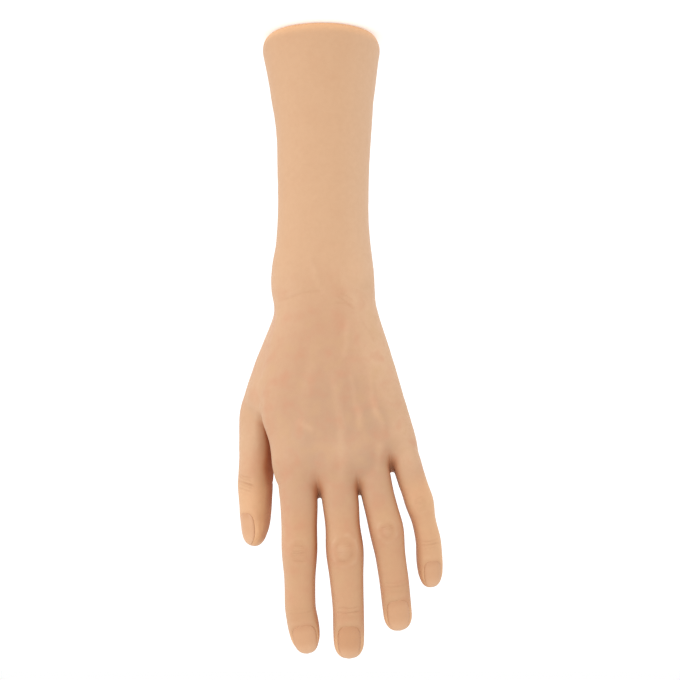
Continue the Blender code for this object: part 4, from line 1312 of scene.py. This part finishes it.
@dataclass
class Tones:
    """Where the silicone is tinted, and where shade, highlights and glowing light are painted
    on it, worked out for each vertex. Spots are round: their place across the palm, height,
    size and strength."""

    hand: Hand
    hand_heights: tuple = (120.0, 185.0)
    # Painted shade in hollows: each reach ahead with its share, then where more of it is painted in the gap
    # beside the thumb and less at the webs.
    cavities: tuple = ((5.0, 0.28), (12.0, 0.24))
    gap_across: tuple = ((21.0, 26.0), (28.5, 32.0))
    gap_heights: tuple = ((209.0, 224.0), (222.0, 240.0))
    gap_share: float = 2.0
    web_share: float = 0.55
    web_top: tuple = (262.0, 275.0)
    # Painted shade on a finger's side away from the key light.
    side_share: float = 0.05
    # Painted highlight on a digit's side towards the key light.
    lit_share: float = 0.36
    # Painted bounce light from the floor on the forearm's rim, fading between these heights.
    rim_heights: tuple = (1.5, 8.0)
    # The most painted shade in a crease.
    fold_limit: float = 0.5
    cool_spots: tuple = (
        (-29.0, 219.0, 11.0, 1.0),
        (-17.0, 200.0, 8.0, 0.7),
        (-12.0, 226.0, 9.0, 0.9),
        (9.0, 228.0, 9.0, 0.7),
        (-6.0, 214.0, 22.0, 0.6),
        (-36.0, 215.5, 5.0, 0.9),
        (-22.5, 238.0, 10.0, 0.8),
        (2.5, 239.0, 7.0, 0.6),
        (-34.0, 230.0, 7.0, 0.6),
    )
    # Painted highlights over the knuckles.
    lit_spots: tuple = ((-11.5, 234.0, 7.0, 0.4), (10.5, 233.0, 10.0, 0.2))

    def write(self, piece: bpy.types.Object, points: Array) -> None:
        """Writes the tints, the painted shade and light, and the rest place of each vertex.

        Args:
            piece: The piece of skin.
            points: Its vertices in millimetres.
        """
        x, y, z = points.T
        back = rise(-y, -4.0, 8.0)
        # The folds give the painted crease shade, and the ridges their painted highlight.
        _, groove, pale = self.hand.sense(points)
        pale = np.clip(pale, 0, 1)
        normals = self.hand.normals(points)
        # Painted shade in the hollows.
        cavity = self.cavity(points, normals)
        warm, lit, bright = np.zeros((3, len(points)))
        for digit in self.hand.digits:
            inside = digit.near(points)
            if not len(inside):
                continue
            read = digit.read(points[inside])
            on = fall(np.abs(read.gap), 1.5, 4.0)
            tip = rise(read.station, digit.stations[-1] + 2.0, digit.length - 4.0)
            along = 0.5 * rise(read.station, -4.0, 12.0) + 0.5 * tip
            warm[inside] = np.maximum(warm[inside], along * on)
            on *= rise(read.station, -16.0, 0.0)
            away = -normals[inside, 0]
            # Painted shade on the side away from the key light; the fingers get less of it on their lit side.
            if digit.is_thumb:
                cavity[inside] = self.thumb_cavity(cavity[inside], z[inside], normals[inside], on)
            else:
                cavity[inside] += 0.0 if digit.bright[0] else self.side_share * on * rise(away, 0.45, 1.0)
                cavity[inside] *= 1 - 0.5 * on * rise(-away, 0.1, 0.8)
            # Painted highlight on the side towards the key light.
            lit[inside] = np.maximum(lit[inside], self.lit_share * on * rise(-away, 0.2, 0.9))
            # A lighter digit: partly its own paler tint, partly painted light on its shaded side.
            share, start, full = digit.bright
            share *= on * rise(read.station, start, full)
            share *= 1 if digit.is_thumb else 1 + 1.2 * rise(away, 0.2, 0.9)
            bright[inside] = np.maximum(bright[inside], share)
        cool = self.spots(x, z, self.cool_spots) * back
        # Painted highlights over the knuckles, on the back.
        lit = np.maximum(lit, self.spots(x, z, self.lit_spots) * back)
        # Painted light: bounce light on the rim, glowing fingertips, and the brighter digits.
        glow = fall(z, *self.rim_heights) + np.maximum(0.75 * rise(warm, 0.6, 1.0), bright)
        put_numbers(
            piece,
            hand_tone=rise(z, *self.hand_heights) * (0.45 + 0.55 * back) * (1 - 0.75 * warm),
            warm_tone=warm,
            cool_tone=0.8 * cool * (1 - pale),
            # Painted highlight on ridges, painted sheen on the edges and painted light on the lit sides.
            pale_tone=np.clip(0.5 * pale + self.edge(x, y, z) + lit, 0, 1),
            glow_tone=np.clip(glow, 0, 1),
            # Painted shade in the creases.
            fold_tone=np.clip(groove * 1.1, 0, self.fold_limit),
            # Painted shade in hollows and on the shaded sides.
            deep_tone=np.clip(cavity, 0, 1),
            skin_place=points * MM,
        )

    def cavity(self, points: Array, normals: Array) -> Array:
        """Painted shade where places are closed in: how much nearer the skin is again at some
        reaches straight ahead than it would be in the open. Less of it is painted at the webs,
        and more of it in the gap beside the thumb."""
        x, y, z = points.T
        found = np.zeros(len(points))
        for reach, share in self.cavities:
            ahead = self.hand.distance(points + normals * reach)
            found += share * rise(1 - ahead / reach, 0.08, 0.95)
        gap = rise(x, *self.gap_across[0]) * fall(x, *self.gap_across[1]) * rise(y, -10.0, -2.0)
        gap *= rise(z, *self.gap_heights[0]) * fall(z, *self.gap_heights[1])
        return found * (self.web_share + (1 - self.web_share) * rise(z, *self.web_top) + self.gap_share * gap)

    @staticmethod
    def thumb_cavity(cavity: Array, z: Array, normals: Array, on: Array) -> Array:
        """The painted shade on the thumb, darkest on its side that faces the fingers, away from the key
        light.

        Args:
            cavity: What was found before.
            z: Heights of the places.
            normals: Directions out of the skin there.
            on: Share of the thumb in them.

        Returns:
            What there is now.
        """
        up = rise(z, 238.0, 252.0)
        share = (1 - 0.2 * up - 0.35 * rise(z, 252.0, 266.0)) * on * fall(normals[:, 1], 0.15, 0.6)
        start = 0.15 + 0.35 * up + 0.2 * fall(z, 226.0, 242.0)
        shaded = rise((-normals[:, 0] - start) / (1.03 - start), 0.0, 1.0) ** 1.25
        return cavity * (1 - 0.75 * on * up) + share * shaded

    @staticmethod
    def spots(x: Array, z: Array, table: tuple) -> Array:
        """The strongest of some round spots at each place."""
        found = [share * hill(np.hypot(x - px, z - pz), size) for px, pz, size, share in table]
        return np.max(found, axis=0)

    def edge(self, x: Array, y: Array, z: Array) -> Array:
        """Painted sheen: how much paler the two sides of the forearm and hand are painted than their middle.
        """
        up = rise(z, 185.0, 210.0)
        out = np.abs(x) / self.hand.arm.sections(x, y, z)[0]
        found = rise((out - 0.25 - 0.35 * up) / (0.70 - 0.30 * up), 0.0, 1.0)
        thumb_side = 0.13 + 0.35 * rise(z, 120.0, 152.0) - 0.22 * rise(z, 165.0, 188.0)
        return found * np.where(x > 0, thumb_side, 1.0 - 0.25 * up) * fall(z, 234.0, 256.0)


class Skin:
    """Makes pieces of the silicone skin, with their finish, tints and painted light and shade."""

    def __init__(self, hand: Hand) -> None:
        """Keeps the shape, and makes the finish once."""
        self.hand = hand
        self.tones = Tones(hand)
        self.look = SkinFinish().material()

    def piece(self, name: str, points: Array, faces: Array, nodes: list[str]) -> bpy.types.Object:
        """Puts one piece of skin into the scene.

        Args:
            name: Name of the piece.
            points: Vertices in millimetres.
            faces: Indices of the faces.
            nodes: The solids that the piece stands for.

        Returns:
            The piece.
        """
        used = np.unique(faces[faces >= 0])
        renumber = np.full(len(points) + 1, -1)
        renumber[used] = np.arange(len(used))
        points, faces = points[used], renumber[faces]
        made = put_mesh(name, points, faces, self.hand.normals(points))
        self.tones.write(made, points)
        made.data.materials.append(self.look)
        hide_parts(*nodes)
        LOG.info("%s: %d faces", name, len(made.data.polygons))
        return made


@dataclass
class Forearm:
    """The forearm and the wrist: the skin as a profile carried round the trunk's axis."""

    skin: Skin
    columns: int = 224
    row: float = 0.8
    rim_rows: int = 12
    rim_height: float = 5.0
    top: float = 132.0
    wrist_top: float = 170.0
    bend: tuple = (134.0, 168.0)
    room: tuple = (26.4, 25.4, 18.6, 2.2)
    disc_height: float = 6.0
    lip: float = 0.6

    def ring(self, z: Array) -> Array:
        """Rings of the skin at heights: rays from the axis, one for each column."""
        turn = np.tile(turns(self.columns), len(z))
        c, s, heights = np.cos(turn), np.sin(turn), np.repeat(z, self.columns)
        level = np.zeros(len(turn))
        reach = oval(c, s, *self.skin.hand.arm.sections(c, s, heights))
        ways = np.stack([c, s, level], axis=1)
        return self.skin.hand.cast(np.stack([level, level, heights], axis=1), ways, reach)

    def inner_rings(self, outer: Array) -> Array:
        """The wall round the base disc and the flat rim, from the disc's edge outwards.

        Args:
            outer: The lowest ring of the outside.

        Returns:
            The rings, in the order of a profile that ends at the outside.
        """
        c, s = np.cos(turns(self.columns)), np.sin(turns(self.columns))
        thumb_side, little_side, deep, n = self.room
        reach = oval(c, s, np.where(c > 0, thumb_side, little_side), deep, n)
        room = np.stack([c * reach, s * reach, np.zeros(len(c))], axis=1)
        profile = [room + [0, 0, self.disc_height]]
        for tilt in np.radians(np.linspace(0, 90, 5)):
            inset, height = self.lip * (1 - math.cos(tilt)), self.lip * (1 - math.sin(tilt))
            profile.append(room + unit(room) * inset + [0, 0, height])
        rim = [profile[-1] * (1 - t) + outer * t for t in (0.25, 0.5, 0.75)]
        return np.vstack([*profile, *rim])

    def build(self) -> None:
        """Makes the forearm's skin and the wrist's."""
        rim = np.linspace(0, 1, self.rim_rows + 1)[:-1] ** 2 * self.rim_height
        low = np.concatenate([rim, np.arange(self.rim_height, self.top - self.row / 2, self.row)])
        rings = self.ring(np.append(low, self.top))
        rings[:self.columns, 2] = 0.0
        inner = self.inner_rings(rings[:self.columns])
        points = np.vstack([inner, rings])
        faces = grid_faces(len(points) // self.columns, self.columns, True)
        cover = self.skin.piece("forearm_cover", points, faces, ["forearm_skin"])
        self.sharpen_bottom(cover.data, len(inner))
        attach(cover, "forearm")
        heights = np.linspace(self.top, self.wrist_top, int((self.wrist_top - self.top) / self.row))
        faces = grid_faces(len(heights), self.columns, True)
        wrist = self.skin.piece("wrist_cover", self.ring(heights), faces, ["wrist_collar"])
        start, end = ((0, 0, height * MM) for height in self.bend)
        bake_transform(wrist)

    def sharpen_bottom(self, mesh: bpy.types.Mesh, count: int) -> None:
        """Shades the flat underside and the wall round the disc by their own faces."""
        own = np.zeros(len(mesh.vertices) * 3)
        mesh.vertices.foreach_get("normal", own)
        normals = self.skin.hand.normals(places(mesh.vertices) / MM)
        normals[:count] = own.reshape(-1, 3)[:count]
        mesh.normals_split_custom_set_from_vertices(normals.tolist())


@dataclass
class Palm:
    """The palm and the back of the hand, up to the roots of the digits."""

    skin: Skin
    cell: float = 0.68
    floor: float = 170.0
    low: tuple = (-64.0, -24.0, 168.6)
    high: tuple = (50.0, 42.0, 264.0)
    cut_start: float = 2.5
    cut_reach: float = 4.0

    def build(self) -> None:
        """Nets the skin, trims it at the wrist and at each digit, and puts it in."""
        net = Net(self.skin.hand, self.low, self.high, self.cell)
        points, number = net.points()
        points, faces = self.trim(points, net.faces(number))
        cover = self.skin.piece("palm_cover", points, faces, ["palm_skin"])
        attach(cover, "palm")

    def trim(self, points: Array, faces: Array) -> tuple[Array, Array]:
        """Cuts the net along planes, each only where its own digit is the nearest.

        Args:
            points: The net's vertices.
            faces: Its faces.

        Returns:
            What is left of both.
        """
        bm = bmesh.new()
        mesh = bpy.data.meshes.new("palm_net")
        mesh.from_pydata(points.tolist(), [], faces.tolist())
        bm.from_mesh(mesh)
        bpy.data.meshes.remove(mesh)
        self.slice(bm, list(bm.faces), (0, 0, self.floor), (0, 0, -1))
        for own, digit in enumerate(self.skin.hand.digits):
            spots = places(bm.verts)
            reads = [other.read(spots) for other in self.skin.hand.digits]
            mine = np.argmin([read.gap for read in reads], axis=0) == own
            mine &= reads[own].station > digit.seam - self.cut_start
            mine &= reads[own].gap < self.cut_reach
            bm.verts.index_update()
            picked = [f for f in bm.faces if all(mine[v.index] for v in f.verts)]
            seam = np.array([digit.seam])
            self.slice(bm, picked, digit.spine.centre(seam)[0], digit.spine.way(seam)[0])
        bmesh.ops.delete(bm, geom=[v for v in bm.verts if not v.link_faces], context="VERTS")
        bm.verts.index_update()
        points = places(bm.verts)
        bmesh.ops.triangulate(bm, faces=[f for f in bm.faces if len(f.verts) > 4])
        faces = np.full((len(bm.faces), 4), -1)
        for i, f in enumerate(bm.faces):
            faces[i, :len(f.verts)] = [v.index for v in f.verts]
        bm.free()
        return points, faces

    @staticmethod
    def slice(bm: bmesh.types.BMesh, picked: list, point: tuple, way: tuple) -> None:
        """Cuts faces along a plane and deletes what lies past it."""
        edges = {e for f in picked for e in f.edges}
        verts = {v for f in picked for v in f.verts}
        bmesh.ops.bisect_plane(
            bm,
            geom=[*picked, *edges, *verts],
            dist=1e-4,
            plane_co=Vector(point),
            plane_no=Vector(way),
            clear_outer=True,
        )


@dataclass
class DigitSkin:
    """The skin of one finger or thumb past its root seam, in one piece for each joint, and
    its nail."""

    skin: Skin
    digit: Digit
    nail_look: bpy.types.Material
    columns: int = 144
    row: float = 0.36
    root_reach: float = 9.0
    reaches: tuple = (9.2, 8.0)
    slack: float = 0.5
    apart: float = 0.3
    fold_factor: float = 1.42
    nail_points: int = 45
    nail_droop: float = 0.97
    nail_lift: float = 0.17
    free_lift: float = 0.10
    nail_sink: float = 0.10
    nail_thickness: float = 0.5

    def zones(self) -> tuple[list, list]:
        """Spans round the joints, as pairs of stations, and the seams between the pieces: the digit's seam,
        then midway between the spans.

        The root's span is at least as long as the factor times the reach to the palm times the
        joint's range. The others reach as far to both sides of their joints as the field says,
        and stay clear of the span before them.
        """
        digit = self.digit
        turn = math.radians(max(abs(v) for v in digit.joints[0]["range_deg"]))
        palmar = float(digit.reach(digit.stations[:1])[2][0])
        start = digit.seam + self.slack
        spans = [(start, start + max(self.fold_factor * palmar * turn, self.root_reach))]
        for mark, reach in zip(digit.stations[1:], self.reaches):
            reach = min(reach, mark - spans[-1][1] - self.apart)
            spans.append((mark - reach, mark + reach))
        return spans, [digit.seam, *((a[1] + b[0]) / 2 for a, b in zip(spans, spans[1:]))]

    def shell(self, stations: Array) -> Array:
        """Rings of skin square to the spine: rays from it, one for each column."""
        digit, spine = self.digit, self.digit.spine
        s = np.repeat(stations, self.columns)
        turn = np.tile(turns(self.columns), len(stations))
        return self.skin.hand.cast(spine.centre(s), spine.out(s, turn), digit.section_radius(s, turn))

    def dome(self, start: float) -> Array:
        """The rounded end: rays from one point of the spine that lean over from its side to
        its tip, and the tip itself as the last point."""
        digit, spine = self.digit, self.digit.spine
        rows = int((digit.length - start) * 1.25 / self.row)
        lean = np.repeat(np.linspace(0, math.pi / 2, rows + 1)[1:-1], self.columns)
        turn = np.tile(turns(self.columns), rows - 1)
        s = np.full(len(turn), start)
        ways = unit(spine.out(s, turn) * np.cos(lean)[:, None] + spine.way(s) * np.sin(lean)[:, None])
        side = digit.section_radius(s, turn)
        ahead = digit.length - start
        reach = 1 / np.sqrt((np.cos(lean) / side) ** 2 + (np.sin(lean) / ahead) ** 2)
        points = self.skin.hand.cast(spine.centre(s), ways, reach)
        tip = self.skin.hand.cast(spine.centre(s[:1]), spine.way(s[:1]), np.array([ahead]))
        return np.vstack([points, tip])

    def build(self) -> None:
        """Makes the pieces of skin and the nail, and says what the nail rides on."""
        digit = self.digit
        spans, seams = self.zones()
        names = [j["name"].removesuffix("_bend") for j in digit.joints]
        bodies = [digit.joints[0]["parent"]] + [j["child"] for j in digit.joints]
        dome_start = digit.length - digit.dome - 1.0
        tops = [*seams[1:], dome_start]
        for joint, (span, seam, top) in enumerate(zip(spans, seams, tops)):
            stations = np.linspace(seam, top, int((top - seam) / self.row) + 1)
            points = self.shell(stations)
            faces = grid_faces(len(stations), self.columns, True)
            if joint == len(spans) - 1:
                points, faces = self.close(points, self.dome(dome_start))
            nodes = [bodies[joint + 1] + "_pad", names[joint] + "_collar"]
            cover = self.skin.piece(names[joint] + "_cover", points, faces[:, ::-1], nodes)
            ends = digit.spine.centre(np.array(span)) * MM
            bodies[joint + 1]
            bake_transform(cover)
        self.nail()

    def close(self, points: Array, dome: Array) -> tuple[Array, Array]:
        """Joins the dome to the rings below it.

        Args:
            points: Vertices of the rings.
            dome: Vertices of the dome, with its tip last.

        Returns:
            All vertices and faces. A face at the tip is a triangle, whose missing index comes
            first, so that a turned face keeps it last.
        """
        rows = (len(points) + len(dome) - 1) // self.columns
        every = np.vstack([points, dome])
        last = (rows - 1) * self.columns + np.arange(self.columns)
        tip = np.full(self.columns, len(every) - 1)
        fan = np.stack([np.full(self.columns, -1), last, np.roll(last, -1), tip], axis=1)
        return every, np.vstack([grid_faces(rows, self.columns, True), fan])

    def nail(self) -> None:
        """Makes the nail: a plate over the nail bed that is crowned from side to side and
        droops less than the fingertip. Its points are those of a square, drawn in to the
        outline: (a, b) times the larger of |a| and |b| over the m-th root of |a|^m + |b|^m."""
        digit, spine = self.digit, self.digit.spine
        width, length = digit.nail_size
        start, end = digit.nail_span()
        side = np.linspace(-1, 1, self.nail_points)
        a, b = (v.ravel() for v in np.meshgrid(side, side))
        m = np.where(b < 0, NAIL_ROOT_POWER, NAIL_TIP_POWER)
        size = np.maximum((np.abs(a) ** m + np.abs(b) ** m) ** (1 / m), 1e-9)
        ring = np.maximum(np.abs(a), np.abs(b))
        u, v = a * ring / size, b * ring / size
        station = (start + end) / 2 + v * length / 2
        half, dorsal, _ = digit.reach(station)
        turn = digit.nail_turn + u * width / (half + dorsal)
        free = rise(v, 0.35, 0.9)
        lift = self.nail_lift * (1 - np.abs(u) ** 2.5) + self.free_lift * free
        sink = self.nail_sink * rise(ring, 0.80, 1.0) * (1 - free)
        radius = digit.section_radius(station, turn, self.nail_droop) + lift - sink
        centre, ways = spine.centre(station), spine.out(station, turn)
        top = centre + ways * radius[:, None]
        bottom = centre + ways * (radius - self.nail_thickness)[:, None]
        self.put_nail(np.vstack([top, bottom]), v, ring)

    def put_nail(self, points: Array, v: Array, ring: Array) -> None:
        """Closes the plate between its two faces and puts it in.

        Args:
            points: Points of the outer face, then of the inner face.
            v: Share along of each point, -1 at the root to 1.
            ring: How near each point is to the outline, at 1.
        """
        rows = self.nail_points
        count = rows * rows
        face = grid_faces(rows, rows, False)
        number = np.arange(count).reshape(rows, rows)
        border = np.concatenate([number[0, :], number[1:, -1], number[-1, -2::-1], number[-2:0:-1, 0]])
        after = np.roll(border, -1)
        rim = np.stack([border, after, after + count, border + count], axis=1)
        faces = np.vstack([face[:, ::-1], face + count, rim])
        name = self.digit.name + "_nail_plate"
        made = put_mesh(name, points, faces)
        tint = 1 - self.digit.nail_pale
        light = 1 - tint * (1 - 0.85 * rise(v, 0.0, 1.0))
        light = np.maximum(light, rise(ring, 0.84, 0.95) * rise(v, 0.35, 0.7))
        # Painted shade at the root and along the sides, where the plate meets the skin.
        root = 0.40 * fall(v, -1.0, -0.45)
        sides = 0.5 * tint * rise(ring, 0.80, 1.0) * fall(v, 0.4, 0.8)
        rim_tone = np.tile(np.maximum(root, sides), 2)
        put_numbers(made, light_tone=np.tile(light, 2), rim_tone=rim_tone, skin_place=points * MM)
        made.data.materials.append(self.nail_look)
        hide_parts(self.digit.name + "_nail")
        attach(made, self.digit.name + "_tip")
        LOG.info("%s: %d faces", name, len(made.data.polygons))


@dataclass
class Armature:
    """The pieces inside, which keep their solids and get a better finish."""

    finishes: dict

    def build(self) -> None:
        """Gives each solid that is left its finish, by its slot in the record."""
        looks = {slot: finish.material(slot) for slot, finish in self.finishes.items()}
        slots = {row["node"]: row["material_slot"] for row in frame["record"]["subparts"]}
        for name, node in frame["nodes"].items():
            if slots.get(name) in looks:
                for place in node.material_slots:
                    place.material = looks[slots[name]]


@dataclass
class Studio:
    """A pale floor, a soft light and the camera."""

    camera: tuple = (-10.0, -900.0, 364.0)
    target: tuple = (-10.0, 0.0, 173.0)
    focal_pixels: float = 1708.0
    frame_pixels: float = 680.0
    sensor: float = 36.0
    light: tuple = (700.0, -700.0, 330.0)
    light_target: tuple = (0.0, 0.0, 170.0)
    light_size: float = 500.0
    light_power: float = 2.2
    floor_size: float = 40000.0
    floor_height: float = -0.1

    def build(self) -> None:
        """Sets up everything that isn't the hand."""
        self.put_floor()
        self.put_world()
        self.put_light()
        self.put_camera()

    def put_camera(self) -> None:
        """Places the camera, rolled half a turn, as the hand hangs in the picture."""
        data = bpy.data.cameras.new("photo_camera")
        data.sensor_width = self.sensor
        data.lens = self.focal_pixels / self.frame_pixels * self.sensor
        data.clip_end = 20.0
        made = link("photo_camera", data)
        place, target = Vector(self.camera) * MM, Vector(self.target) * MM
        way = (target - place).normalized()
        right = way.cross(Vector((0, 0, 1))).normalized()
        up = right.cross(way)
        turned = Matrix((-right, -up, -way)).transposed().to_4x4()
        made.matrix_world = Matrix.Translation(place) @ turned
        bpy.context.scene.camera = made

    def put_floor(self) -> None:
        """A wide pale floor just under the hand."""
        size, low = self.floor_size, self.floor_height
        points = np.array([[-size, -size, low], [size, -size, low], [size, size, low], [-size, size, low]])
        made = put_mesh("studio_floor", points, np.array([[0, 1, 2, 3]]))
        board = Board(
            "studio_floor",
            Base_Color=shade(0.8, 0.8, 0.8),
            Roughness=0.9,
            Specular_IOR_Level=0.0,
            Emission_Color=shade(1.0, 1.0, 1.0),
            Emission_Strength=0.4,
        )
        made.data.materials.append(board.material)

    def put_world(self) -> None:
        """An even white surround, and colours shown as they are."""
        world = bpy.data.worlds.new("studio")
        bpy.context.scene.world = world
        world.use_nodes = True
        back = world.node_tree.nodes["Background"]
        back.inputs["Color"].default_value = shade(1.0, 1.0, 1.0)
        back.inputs["Strength"].default_value = 1.0
        bpy.context.scene.view_settings.view_transform = "Standard"

    def put_light(self) -> None:
        """A square soft light that faces the hand."""
        data = bpy.data.lights.new("key_light", "AREA")
        data.size = self.light_size * MM
        data.energy = self.light_power
        made = link("key_light", data)
        made.location = Vector(self.light) * MM
        way = Vector(self.light_target) * MM - made.location
        made.rotation_euler = way.to_track_quat("-Z", "Y").to_euler()


def digits() -> list[Digit]:
    """The four fingers, from the thumb side, and then the thumb."""
    index = Digit(
        "index",
        deep=((5.0, -1.0, 186.0), (13.8, -4.2, 236.5)),
        widths=(9.0, 20.4, 19.8, 18.9, 18.9, 16.5, 16.3, 16.3, 14.2),
        depths=(8.0, 18.8, 19.6, 17.6, 17.4, 14.6, 13.8, 13.4, 12.0),
        shifts=(-0.5, -0.1, 0.5, -0.8),
        seam=-1.5,
        nail_size=(14.4, 17.0),
        ring=(5.6, 6.6, 0.25, 1.6),
        end_share=0.35,
        dome=13.0,
        nail_pale=0.3,
    )
    middle = Digit(
        "middle",
        deep=((-2.0, -1.5, 184.0), (-6.6, -5.0, 235.5)),
        widths=(9.0, 18.6, 19.3, 18.4, 19.9, 17.9, 16.6, 16.5, 16.0),
        depths=(8.0, 19.0, 19.8, 17.8, 18.0, 15.0, 14.0, 13.6, 12.2),
        shifts=(-0.1, -0.1, -0.25, -0.4),
        seam=-1.5,
        nail_size=(13.8, 19.6),
        ring=(6.4, 8.0, 0.9, 0.75),
        end_share=1.0,
        longer=1.4,
        dome=11.0,
    )
    ring = Digit(
        "ring",
        deep=((-10.0, -1.5, 184.0), (-25.4, -4.4, 231.0)),
        widths=(8.0, 16.8, 17.3, 17.6, 18.2, 16.0, 15.6, 15.4, 15.0),
        depths=(7.0, 17.6, 18.8, 17.2, 17.0, 14.0, 13.2, 13.0, 11.6),
        shifts=(0.25, -0.5, -0.8, -1.8),
        seam=-0.5,
        nail_size=(13.6, 18.3),
        ring=(4.6, 5.6, 0.6, 0.6),
        nail_pale=0.3,
    )
    little = Digit(
        "little",
        deep=((-18.0, -1.0, 184.0), (-41.4, -1.6, 226.5)),
        widths=(7.0, 14.6, 15.2, 15.0, 15.3, 12.8, 13.4, 13.8, 12.4),
        depths=(6.0, 15.6, 16.6, 15.4, 14.8, 12.4, 12.0, 12.0, 10.6),
        shifts=(0.4, -0.15, -0.9, -0.6),
        seam=-4.0,
        nail_size=(10.4, 15.6),
        ring=(3.8, 4.6, 0.22, 0.5),
        end_share=0.7,
        nail_turn=0.12,
        nail_pale=0.35,
        bright=(0.28, -4.0, 8.0),
    )
    thumb = Digit(
        "thumb",
        deep=((7.0, 5.0, 150.0), (22.6, 13.0, 184.0), (34.0, 20.4, 210.0)),
        widths=(14.0, 24.4, 23.4, 20.0, 18.9, 19.4, 16.8, 14.6),
        depths=(16.0, 25.0, 20.6, 18.4, 17.6, 17.2, 15.0, 12.6),
        shifts=(0.0, -0.3, -0.8),
        seam=-3.0,
        nail_size=(11.0, 17.4),
        ring=(5.0, 5.0, 0.0, 0.0),
        end_share=1.0,
        skew=0.22,
        nail_turn=-0.02,
        nail_pale=0.4,
        bright=(0.42, 15.0, 28.0),
        dome=13.0,
        nail_dome=8.0,
    )
    return [index, middle, ring, little, thumb]


def main() -> None:
    """Builds the studio, the skin, the nails and the dressed solids."""
    logging.basicConfig(level=logging.INFO, format="%(message)s")
    Studio().build()
    hand = Hand(Arm(), digits())
    skin = Skin(hand)
    Forearm(skin).build()
    Palm(skin).build()
    nail_look = NailFinish().material()
    for digit in hand.digits:
        DigitSkin(skin, digit, nail_look).build()
    Armature(PLAIN_FINISHES).build()


if __name__ == "__main__":
    main()
